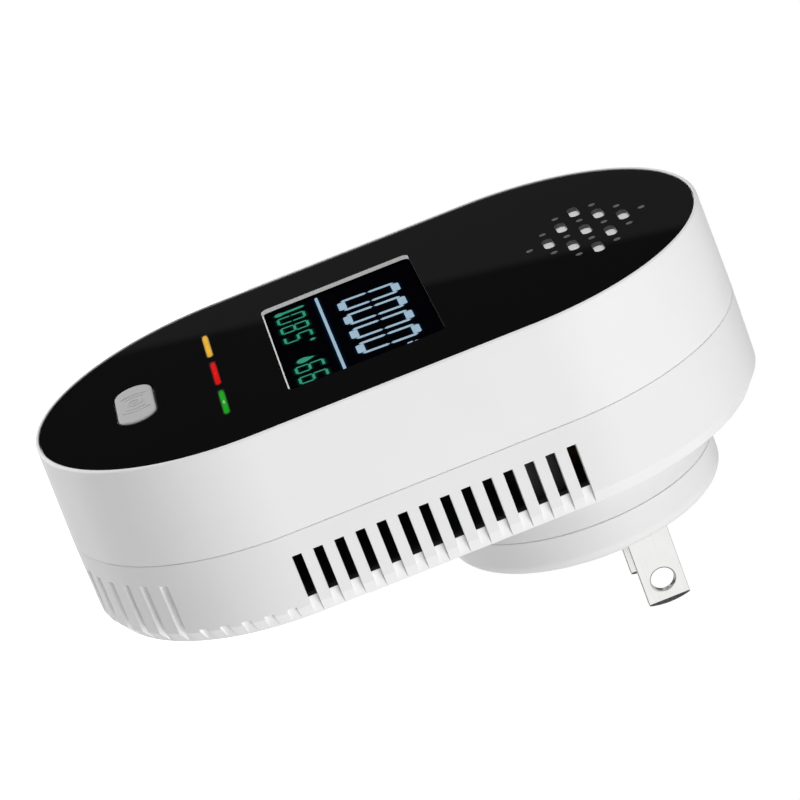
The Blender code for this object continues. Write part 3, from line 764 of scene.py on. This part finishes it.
def lower_end_turn(degrees):
    lift = Matrix.Translation(Vector((0, 0, LOWER_AXIS)) * MM)
    return lift @ Matrix.Rotation(math.radians(degrees), 4, "Y")


def vent_tool():
    start, end = groove_floor()
    inner, outer = CUT_INNER_RADIUS, CUT_OUTER_RADIUS
    outline = [(inner, VENT_TOP), (outer, VENT_TOP), (outer, end[1]), end, start]
    outline += [(start[0], VENT_BOTTOM), (inner, VENT_BOTTOM)]
    bm = bmesh.new()
    for i in range(VENT_COUNT):
        lift = Matrix.Translation(Vector((0, 0, VENT_FIRST_Z + VENT_PITCH * i)) * MM)
        for turn in (lift, lift @ Matrix.Rotation(math.pi, 4, "Y")):
            add_radial(bm, outline, VENT_WIDTH, turn)
    return make_object("vent_tool", bm)


def groove_outlines():
    """Short grooves cut only the chamfer, and long ones run up the wall with a rounded upper end."""
    start, end = groove_floor()
    outer, floor = CUT_OUTER_RADIUS, WALL_RADIUS - LONG_GROOVE_SUNK
    brow = (WALL_RADIUS + 0.1, CHAMFER_DEPTH - GROOVE_BROW)
    short = [(outer, brow[1]), brow, (start[0] + 0.1, CHAMFER_DEPTH - 0.1), end, (outer, end[1])]
    long = [(outer, VENT_TOP), (WALL_RADIUS, VENT_TOP)]
    for angle in (0.5, 1.0, 1.57):
        radius = floor + LONG_GROOVE_SUNK * (1 - math.sin(angle))
        long.append((radius, VENT_TOP + LONG_GROOVE_ROUND * (1 - math.cos(angle))))
    long += [(floor, start[1]), end, (outer, end[1])]
    return short, long


def groove_tool():
    short, long = groove_outlines()
    bm = bmesh.new()
    for i in range(SHORT_GROOVES):
        angle = 1.5 + SHORT_GROOVE_STEP * (i + 1)
        for degrees in (angle, 180 - angle):
            add_radial(bm, short, VENT_WIDTH, lower_end_turn(degrees))
    for i in range(LONG_GROOVES):
        degrees = 90 + LONG_GROOVE_STEP * (i - (LONG_GROOVES - 1) / 2)
        add_radial(bm, long, VENT_WIDTH, lower_end_turn(degrees))
    return make_object("groove_tool", bm)


def screw_spots():
    return [spot_of(f"case_screw_{i + 1}") for i in range(4)]


def rear_look(face):
    """0 is the shell's plastic, 1 painted shade in near black on the inside and on the slots' ledges, and
    2 the collar, in a darker white as painted shade.
    """
    x, z = face.center.x / MM, face.center.z / MM
    depth = face.center.y / MM - FACE
    if depth > REAR_DEPTH + 0.05 and math.hypot(x, z) > COLLAR_SIDE_REACH:
        return 2
    if abs(face.normal.y) > 0.9 and abs(depth - VENT_BOTTOM) < 0.05:
        return 1
    if any(math.hypot(x - spot[0], z - spot[1]) < BORE_REACH for spot in screw_spots()):
        return 0
    return int(reach_of(face) < PAINTED_SHADE_REACH and depth < REAR_INNER_DEPTH + 0.05)


def stepped(first, second, end):
    """Profile of two steps, each a (radius, start)."""
    return [first, (first[0], second[1]), second, (second[0], end)]


def build_rear_shell(white, inside, collar_white_painted_shade):
    profile = [
        (INNER_RADIUS - 0.1, REAR_INNER_DEPTH),
        (INNER_RADIUS - 0.1, REAR_STEP_DEPTH),
        (WALL_RADIUS - REAR_LIP, REAR_STEP_DEPTH),
        (WALL_RADIUS - REAR_LIP, PARTING + TOUCH),
        (WALL_RADIUS - SEAM, PARTING + TOUCH),
        (WALL_RADIUS, PARTING + SEAM),
        (WALL_RADIUS, CHAMFER_DEPTH),
        (REAR_EDGE_RADIUS, REAR_DEPTH),
    ]
    bm = bmesh.new()
    add_swept(bm, profile, upright_stadium)
    shell = make_object("rear_shell_skin", bm)

    bm = bmesh.new()
    collar = [(PLUG_RADIUS, COLLAR_START), (PLUG_RADIUS, COLLAR_END - SEAM)]
    add_turned(bm, collar + [(PLUG_RADIUS - SEAM, COLLAR_END)])
    for spot in screw_spots():
        add_turned(bm, [(BOSS_RADIUS, BOSS_DEPTH), (BOSS_RADIUS, COLLAR_START)], spot, 32)
    tools = [cut(shell, make_object("rear_additions", bm), "UNION")]
    bm = bmesh.new()
    add_turned(bm, stepped(COLLAR_BORE, COLLAR_LIP, COLLAR_CUT_END))
    for spot in screw_spots():
        add_turned(bm, stepped(SHANK_BORE, HEAD_BORE, BORE_END), spot, 32)
    tools.append(cut(shell, make_object("rear_bores", bm)))
    tools += [cut(shell, vent_tool()), cut(shell, groove_tool())]
    settle(shell, "housing", "rear_shell", [white, inside, collar_white_painted_shade], tools)
    for face in shell.data.polygons:
        face.material_index = rear_look(face)


# Face pieces.


def build_cloth(material):
    """The grille cloth, drawn tight against the back of the panel."""
    low, high = span("sounder_mesh")
    centre = middle("sounder_mesh")
    bm = bmesh.new()
    profile = [((high.x - low.x) / 2, depth) for depth in (PANEL_BACK + 0.02, high.y - FACE)]
    add_turned(bm, profile, (centre.x, centre.z))
    settle(make_object("sounder_cloth", bm), "housing", "sounder_mesh", [material])


def build_bezel(material, shadow):
    """The display's frame, brought up to the back of the panel."""
    low, high = span("lcd_bezel")
    centre, glass = middle("lcd_bezel"), middle("lcd_glass")
    outline = rounded_rectangle(high.x - low.x, high.z - low.z, 0.6, (centre.x, centre.z))
    size = extent("lcd_glass")
    opening = rounded_rectangle(size.x + 0.4, size.z + 0.4, 0.4, (glass.x, glass.z))
    bm = bmesh.new()
    add_plate(bm, outline, [opening], PANEL_BACK + 0.02, high.y - FACE)
    bezel = make_object("display_frame", bm)
    # The frame's walls and its strip along the top of the opening take the black panel material as
    # painted shade.
    for face in bezel.data.polygons:
        shaded = abs(face.normal.y) < 0.5 or face.center.z / MM > WINDOW_Z + size.z / 2 - 0.3
        face.material_index = int(shaded)
    settle(bezel, "housing", "lcd_bezel", [material, shadow])


def build_light_pipes(looks):
    top = span("light_pipe_red")[0].y - FACE
    flange = BAR_HALF + BAR_FLANGE
    start, end = BAR_FLANGE_DEPTHS
    profile = arc((BAR_HALF - BAR_ROUND, top + BAR_ROUND), BAR_ROUND, -90, 0, 6)
    profile += [(BAR_HALF, start), (flange, start), (flange, end), (BAR_HALF, end), (BAR_HALF, BAR_BACK)]
    for colour, spot in zip(("amber", "red", "green"), bar_centres()):
        bm = bmesh.new()
        add_swept(bm, profile, lambda half: level_stadium(half, BAR_STRAIGHT, spot))
        pipe = make_object(f"light_bar_{colour}", bm)
        settle(pipe, "housing", f"light_pipe_{colour}", [looks[colour]])


def build_button(grey):
    low, high = span("test_button")
    proud, back = low.y - FACE, high.y - FACE
    centre = button_centre()
    flange = BUTTON_HALF + BUTTON_FLANGE
    start, end = BUTTON_FLANGE_DEPTHS
    flat = BUTTON_HALF - 1.6
    profile = [(flat, proud), (BUTTON_HALF - 1.0, proud + 0.01)]
    profile += arc((BUTTON_HALF - BUTTON_ROUND, proud + BUTTON_ROUND + 0.02), BUTTON_ROUND, -84, 0, 8)
    profile += [(BUTTON_HALF, start), (flange, start), (flange, end), (flat, end)]
    bm = bmesh.new()
    add_swept(bm, profile, lambda half: level_stadium(half, BUTTON_STRAIGHT, centre))
    button = make_object("test_button_cap", bm)
    bm = bmesh.new()
    add_turned(bm, [(BUTTON_STEM_RADIUS, BUTTON_STEM_DEPTH), (BUTTON_STEM_RADIUS, back)], centre, 32)
    tools = [cut(button, make_object("button_stem", bm), "UNION")]
    settle(button, "button", "test_button", [grey], tools)
    build_button_mark(centre, proud, grey)


def build_button_mark(centre, proud, grey):
    """A raised spot, a ring and two waves to each side, as a plain sign for a sound."""
    front, back = proud - MARK_RISE, proud + MARK_ROOT
    bm = bmesh.new()
    outer, inner = (circle(radius, centre) for radius in MARK_RING)
    add_plate(bm, outer, [inner], front, back)
    add_prism(bm, circle(MARK_SPOT, centre, 24), front, back)
    for middle_angle in (0, 180):
        start, end = middle_angle - MARK_WAVE_HALF_ANGLE, middle_angle + MARK_WAVE_HALF_ANGLE
        for reach in MARK_WAVES:
            outer = arc(centre, reach + MARK_STROKE, start, end, 10)
            inner = arc(centre, reach, end, start, 10)
            add_prism(bm, outer + inner, front, back)
    mark = make_object("test_button_mark", bm)
    soften(mark, MARK_SOFTEN, 2)
    settle(mark, "button", None, [grey])


# Display.


def segment_outlines(digit, centre, size):
    """Slanted segments of one digit, as outlines: blunt level ones between pointed upright ones."""
    half_w, half_h = size["width"] / 2, size["height"] / 2
    t, s = size["level"] / 2, size["upright"] / 2
    gap = SEGMENT_GAP
    inside, corner = half_w - s - gap / 2, 0.4 * t
    level = [(-inside, -t + corner), (-inside + corner, -t), (inside - corner, -t), (inside, -t + corner)]
    level += [(-x, -z) for x, z in level]
    flat = {"a": half_h, "g": 0.0, "d": -half_h}
    tall = {"f": (-half_w, gap, half_h), "b": (half_w, gap, half_h)}
    tall |= {"e": (-half_w, -half_h, -gap), "c": (half_w, -half_h, -gap)}
    found = []
    for letter in SEGMENTS[digit]:
        if letter in flat:
            points = [(x, z + flat[letter]) for x, z in level]
        else:
            x, low, high = tall[letter]
            points = [(x, low), (x + s, low + s), (x + s, high - s)]
            points += [(x, high), (x - s, high - s), (x - s, low + s)]
        found.append([(centre[0] + x + SLANT * z, centre[1] + z) for x, z in points])
    return found


def number_outlines(text, first, size):
    return [
        outline
        for i, digit in enumerate(text)
        for outline in segment_outlines(digit, (first[0] + size["pitch"] * i, first[1]), size)
    ]


def spread(outline, distance):
    """The outline moved outwards by a distance, with mitred corners."""
    found = []
    for i, point in enumerate(outline):
        before = Vector(outline[i - 1])
        here = Vector(point)
        after = Vector(outline[(i + 1) % len(outline)])
        first, second = (here - before).normalized(), (after - here).normalized()
        one, two = Vector((first.y, -first.x)), Vector((second.y, -second.x))
        shift = (one + two) / max(1 + one.dot(two), 0.4)
        found.append(tuple(here + shift * distance))
    return found


def add_halo(bm, fade, outline, depth):
    """A flat skirt round an outline, with a fade that falls from one to nothing."""
    rings = []
    for share in (0.0, 0.35, 1.0):
        ring = [bm.verts.new(at(x, depth, z)) for x, z in spread(outline, HALO_REACH * share)]
        for vert in ring:
            vert[fade] = 1.0 - share
        rings.append(ring)
    for ring, following in zip(rings, rings[1:]):
        skin(bm, ring, following)


def thermometer(centre):
    """Bulb and tube, drawn round one way."""
    x, z = centre
    bulb = arc((x, z - 1.55), 0.7, 124, 416, 20)
    tube = arc((x, z + 2.0), 0.36, 0, 180, 8)
    return bulb + tube


def drop(centre, size):
    """A round drop with a point above it."""
    x, z = centre
    points = [(x, z + size * 1.5)]
    return points + arc((x, z - 0.3 * size), size, 150, 390, 20)


def display_outlines():
    """Lit parts of the display, pale and green, in heights and widths of the frame."""
    low, high = span("lcd_glass")
    centre_z = (low.z + high.z) / 2
    rule_z = centre_z - 3.4
    pale = number_outlines("0000", (-8.75, centre_z + 3.8), BIG_DIGIT)
    pale.append(rounded_rectangle(33.6, 0.45, 0.2, (-0.2, rule_z), 2))
    pale.append(rounded_rectangle(1.3, 0.8, 0.15, (16.2, centre_z + 6.3), 2))
    pale.append(rounded_rectangle(0.7, 0.5, 0.1, (16.2, centre_z + 7.2), 2))
    small_z = rule_z - 4.4
    mint = number_outlines("085", (-12.6, small_z), SMALL_DIGIT)
    mint += number_outlines("66", (9.8, small_z), SMALL_DIGIT)
    mint.append(thermometer((-15.9, small_z)))
    mint.append(drop((6.4, small_z - 0.3), 0.95))
    mint.append(circle(0.4, (-0.6, small_z + 1.8), 12))
    return pale, mint


def build_display(looks):
    front = span("lcd_glass")[0].y - FACE
    pale, mint = display_outlines()
    for name, outlines in (("pale", pale), ("mint", mint)):
        bm = bmesh.new()
        for outline in outlines:
            add_prism(bm, outline, front - LIT_FRONT, front - LIT_BACK)
        lit = make_object(f"display_{name}", bm)
        settle(lit, "housing", None, [looks[name]])
        bm = bmesh.new()
        fade = bm.verts.layers.float.new("fade")
        for i, outline in enumerate(outlines):
            add_halo(bm, fade, outline, front - HALO_FRONT + HALO_STEP * i)
        glow = make_object(f"display_{name}_glow", bm)
        settle(glow, "housing", None, [looks[f"{name}_glow"]])


# Plug.


def build_plug(white):
    front = COLLAR_BACK + 0.02
    profile = stepped(SPIGOT_BORE, SPIGOT, front)
    profile += [(PLUG_RADIUS - SEAM, front), (PLUG_RADIUS, front + SEAM)]
    profile += arc((PLUG_RADIUS - DISC_ROUND, PLUG_BACK - DISC_ROUND), DISC_ROUND, 0, 90, 14)
    bm = bmesh.new()
    add_turned(bm, profile, steps=128)
    disc = make_object("plug_disc_skin", bm)
    bm = bmesh.new()
    for node in ("blade_left", "blade_right"):
        size = extent(node)
        width, height = size.x + BLADE_SLOT_GAP, size.z + BLADE_SLOT_GAP
        outline = rounded_rectangle(width, height, BLADE_SLOT_CORNER, spot_of(node), 3)
        add_prism(bm, outline, BLADE_SLOT_START, PLUG_BACK + OVERSHOOT)
    tools = [cut(disc, make_object("blade_slots", bm))]
    settle(disc, "plug", "plug_disc", [white], tools)


def blade_plate(bm, size):
    """A blade lying flat, drawn about its root, with a tip that is an arc."""
    half, face = size.z / 2, size.x / 2
    radius = (half**2 + BLADE_TIP_RISE**2) / (2 * BLADE_TIP_RISE)
    sweep = math.degrees(math.asin(half / radius))
    outline = [(-half, 0.0), (half, 0.0)]
    outline += arc((0, size.y - radius), radius, 90 - sweep, 90 + sweep, 12)
    add_plate(bm, outline, [], -face - FACE, face - FACE)
    bmesh.ops.dissolve_limit(bm, angle_limit=0.001, verts=bm.verts, edges=bm.edges)


def blade_hole(face, depth):
    """Cutter for the hole of a blade lying flat, flared at both faces."""
    flare = [(BLADE_HOLE_RADIUS + wider, face - inward) for wider, inward in BLADE_HOLE_FLARE]
    profile = [(r, -reach - FACE) for r, reach in flare]
    profile += [(r, reach - FACE) for r, reach in reversed(flare)]
    bm = bmesh.new()
    add_turned(bm, profile, (0, depth), 64)
    return bm


def blade_bevels(size, centre, start):
    """Cutter for the slopes at both faces of a blade's tip."""
    face, slope = size.x / 2, BLADE_TIP_BEVEL / BLADE_TIP_RISE
    wedge = [(face + slope, start - 1), (face - slope, start + 1), (face + 2, start + 1)]
    place = Matrix.Translation(Vector((centre.x, 0, centre.z)) * MM)
    bm = bmesh.new()
    add_radial(bm, wedge, size.z + 2, place)
    add_radial(bm, wedge, size.z + 2, place @ Matrix.Rotation(math.pi, 4, "Y"))
    return bm


def build_blade(node, nickel):
    low, size, centre = span(node)[0], extent(node), middle(node)
    stand = Matrix(((0, 1, 0), (0, 0, 1), (1, 0, 0))).to_4x4()
    stand.translation = Vector((centre.x, low.y, centre.z)) * MM
    bm = bmesh.new()
    blade_plate(bm, size)
    bmesh.ops.transform(bm, matrix=stand, verts=bm.verts)
    blade = make_object(f"{node}_skin", bm)
    soften(blade, BLADE_SOFTEN, 3)

    bm = blade_hole(size.x / 2, PLUG_BACK + FACE - low.y + BLADE_HOLE_DEPTH)
    bmesh.ops.transform(bm, matrix=stand, verts=bm.verts)
    tools = [cut(blade, make_object("blade_hole", bm))]
    start = low.y + (size.y - BLADE_TIP_RISE) - BEVEL_LEAD - FACE
    tools.append(cut(blade, make_object("blade_tip_bevels", blade_bevels(size, centre, start))))
    settle(blade, "plug", node, [nickel], tools, angle=10)


def build_case_screws(steel):
    """Each recess is cut bar by bar, as the solver returns nothing for bars that overlap."""
    for i, spot in enumerate(screw_spots()):
        node = f"case_screw_{i + 1}"
        low, high = span(node)
        front, back = low.y - FACE, high.y - FACE
        under_head = back - SCREW_HEAD_LENGTH
        profile = [(SCREW_SHANK - 0.2, front), (SCREW_SHANK, front + 0.6), (SCREW_SHANK, under_head)]
        profile += [(SCREW_HEAD - 0.15, under_head), (SCREW_HEAD, under_head + 0.2)]
        profile += [(SCREW_HEAD, back - 0.9), (SCREW_HEAD - 0.4, back - 0.3), (1.2, back)]
        bm = bmesh.new()
        add_turned(bm, profile, spot, 32)
        screw = make_object(f"{node}_skin", bm)
        tools = []
        for width, height in (RECESS, RECESS[::-1]):
            bm = bmesh.new()
            outline = rounded_rectangle(width, height, 0.05, spot, 2)
            add_prism(bm, outline, back - RECESS_DEPTH, back + 0.5)
            tools.append(cut(screw, make_object("cross_recess", bm)))
        settle(screw, "housing", node, [steel], tools)


# Stage.


def build_floor():
    """A pale ground that takes no part in the light, and turns white where it is seen at a slant."""
    low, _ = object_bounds()
    mesh = bpy.data.meshes.new("floor")
    corners = ((-1, -1), (1, -1), (1, 1), (-1, 1))
    points = [(x * FLOOR_REACH, y * FLOOR_REACH, low.z - FLOOR_GAP) for x, y in corners]
    mesh.from_pydata(points, [], [(0, 1, 2, 3)])
    floor = bpy.data.objects.new("floor", mesh)
    bpy.context.collection.objects.link(floor)
    look = Look("pale_floor", (0.94, 0.94, 0.94), 0.9)
    look.set("Specular IOR Level", 0.0)
    facing = look.node("ShaderNodeLayerWeight")
    facing.inputs["Blend"].default_value = 0.5
    grazing = look.ranged(facing.outputs["Facing"], 0.30, 1.0, 0.72, 0.9)
    look.emit((1.0, 1.0, 1.0), grazing)
    mesh.materials.append(look.material)
    floor.visible_diffuse = False
    floor.visible_glossy = False
    floor.visible_shadow = False


def build_world():
    """White to the camera, even light on matt surfaces, and a dim studio in mirror surfaces."""
    world = bpy.data.worlds.new("studio")
    bpy.context.scene.world = world
    world.use_nodes = True
    world.cycles.sampling_method = "NONE"
    tree = world.node_tree
    background = tree.nodes["Background"]
    background.inputs["Color"].default_value = (1.0, 1.0, 1.0, 1.0)

    def node(kind, **settings):
        made = tree.nodes.new(kind)
        for key, value in settings.items():
            setattr(made, key, value)
        return made

    def dot(direction):
        made = node("ShaderNodeVectorMath", operation="DOT_PRODUCT")
        tree.links.new(node("ShaderNodeTexCoord").outputs["Generated"], made.inputs[0])
        made.inputs[1].default_value = direction
        return made.outputs["Value"]

    def ramp(source, start, end, low, high):
        made = node("ShaderNodeMapRange", interpolation_type="SMOOTHSTEP")
        for key, value in (("From Min", start), ("From Max", end), ("To Min", low), ("To Max", high)):
            made.inputs[key].default_value = value
        tree.links.new(source, made.inputs["Value"])
        return made.outputs["Result"]

    def choose(flag, low, high):
        made = node("ShaderNodeMix", data_type="FLOAT")
        for key, value in (("Factor", flag), ("A", low), ("B", high)):
            if isinstance(value, float):
                made.inputs[key].default_value = value
            else:
                tree.links.new(value, made.inputs[key])
        return made.outputs["Result"]

    paths = node("ShaderNodeLightPath").outputs
    card_edge = ramp(dot(CARD_EDGE_NORMAL), -CARD_SOFTNESS, CARD_SOFTNESS, *CARD_LEVELS)
    open_side = ramp(dot(OPEN_SIDE), 0.2, 0.7, 0.0, 1.0)
    overhead = ramp(dot(OVERHEAD), 0.4, 0.9, 0.0, 1.0)
    far_side = ramp(dot(FAR_SIDE), 0.86, 0.96, 0.0, 1.0)
    mirrored = choose(open_side, card_edge, OPEN_SIDE_LEVEL)
    mirrored = choose(far_side, mirrored, FAR_SIDE_LEVEL)
    mirrored = choose(overhead, mirrored, OVERHEAD_LEVEL)
    light = choose(paths["Is Glossy Ray"], AMBIENT, mirrored)
    tree.links.new(choose(paths["Is Camera Ray"], light, 1.0), background.inputs["Strength"])


def add_sun(name, direction, strength, spread_angle):
    light = bpy.data.lights.new(name, "SUN")
    light.energy = strength
    light.angle = math.radians(spread_angle)
    lamp = bpy.data.objects.new(name, light)
    lamp.rotation_mode = "QUATERNION"
    lamp.rotation_quaternion = Vector(direction).to_track_quat("Z", "Y")
    lamp.visible_glossy = False
    bpy.context.collection.objects.link(lamp)


def build_camera():
    data = bpy.data.cameras.new("camera")
    data.lens = LENS
    data.sensor_width = 36.0
    data.clip_start = 0.01
    camera = bpy.data.objects.new("camera", data)
    ahead = Vector(CAMERA_AHEAD).normalized()
    right = ahead.cross(Vector(CAMERA_UP)).normalized()
    axes = Matrix((right, right.cross(ahead), -ahead)).transposed().to_4x4()
    camera.matrix_world = Matrix.Translation(Vector(CAMERA_PLACE) * MM) @ axes
    bpy.context.collection.objects.link(camera)
    bpy.context.scene.camera = camera


def dress_frame(looks):
    """Materials for the CAD nodes, which show where no drawn piece stands for them."""
    wanted = {
        "lcd_glass": "display",
        "lcd_backlight": "satin_white",
        "main_board": "board",
        "co_sensor": "satin_white",
        "sounder_gasket": "foam",
        "transformer": "ferrite",
        "filter_capacitor": "sleeve",
        "film_capacitor": "blue",
        "varistor": "blue",
        "fuse": "steel",
        "switch_plunger": "steel",
        "led_amber": "amber",
        "led_red": "red",
        "led_green": "green",
    }
    for name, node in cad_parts.items():
        look = wanted.get(name, "dark")
        if name.startswith("board_screw"):
            look = "steel"
        if name.startswith("contact"):
            look = "brass"
        node.data.materials.clear()
        node.data.materials.append(looks[look])


def make_looks():
    amber, red, green = bar_centres()
    return {
        "white": moulded("white_plastic", (0.83, 0.83, 0.83)),
        "rear_white": moulded("warm_white_plastic", (0.80, 0.80, 0.80)),
        "plug_white": moulded("plug_plastic", (0.735, 0.735, 0.735), 0.5),
        # The collar is a darker white than the rest of its shell: painted shade for the recess between
        # the chamfer and the plug.
        "collar_white_painted_shade": moulded("collar_plastic_painted_shade", (0.70, 0.70, 0.70)),
        # Near black for the inside of the rear shell and the slots' ledges: painted shade.
        "inside": moulded("painted_shade_plastic", (0.03, 0.03, 0.03), 0.7),
        "satin_white": moulded("satin_white_plastic", (0.80, 0.80, 0.80), 0.4),
        "button": moulded("button_plastic", (0.53, 0.53, 0.53), 0.4, 0.12, 0.004, 0.1),
        "dark": moulded("dark_plastic", (0.02, 0.02, 0.022), 0.5),
        "black": gloss_black(),
        # Cut edges of the panel: one copy with a painted glow, and dimmer copies with painted shade.
        "edge": acrylic_edge("acrylic_edge", 0.30),
        "dim_edge": acrylic_edge("painted_shade_edge", 0.008, 0.16),
        "dot_edge": acrylic_edge("pierced_edge", 0.05, 0.4),
        "cloth": cloth(),
        "display": display_black(),
        "pale": lit_segment("display_pale_light", PALE_BLUE, 1.1),
        "pale_glow": halo("display_pale_halo", BLUE_GLOW),
        "mint": lit_segment("display_green_light", MINT, 1.0),
        "mint_glow": halo("display_green_halo", MINT_GLOW),
        "amber": light_pipe("amber_light", amber, *AMBER_LIGHT),
        "red": light_pipe("red_light", red, *RED_LIGHT),
        "green": light_pipe("green_light", green, *GREEN_LIGHT),
        "nickel": metal("nickel_plate", (0.80, 0.80, 0.79), 0.24, (1, 0.06, 1)),
        "steel": metal("zinc_steel", (0.62, 0.62, 0.64), 0.3, (1, 1, 1)),
        # Brass of the contacts: its own colour, darkened as painted shade where they show through the
        # vents.
        "brass": metal("brass_strip_painted_shade", (0.34, 0.26, 0.13), 0.4, (1, 0.1, 1)),
        "board": board(),
        "ferrite": coated("ferrite_core", (0.05, 0.05, 0.055), 0.6),
        "sleeve": coated("capacitor_sleeve", (0.015, 0.015, 0.03), 0.35, 0.3),
        "blue": coated("dipped_epoxy", (0.06, 0.20, 0.52), 0.35, 0.4),
        "foam": foam(),
    }


def main():
    looks = make_looks()
    dress_frame(looks)
    build_front_shell(looks["white"])
    build_face_panel(looks)
    build_rear_shell(looks["rear_white"], looks["inside"], looks["collar_white_painted_shade"])
    build_light_pipes(looks)
    build_button(looks["button"])
    build_cloth(looks["cloth"])
    build_bezel(looks["satin_white"], looks["black"])
    build_display(looks)
    build_plug(looks["plug_white"])
    build_blade("blade_left", looks["nickel"])
    build_blade("blade_right", looks["nickel"])
    build_case_screws(looks["steel"])
    build_floor()
    build_world()
    add_sun("key", *KEY)
    add_sun("fill", *FILL)
    add_sun("rear", *REAR)
    add_sun("front", *FRONT)
    build_camera()
    bpy.context.scene.view_settings.view_transform = "Standard"


main()
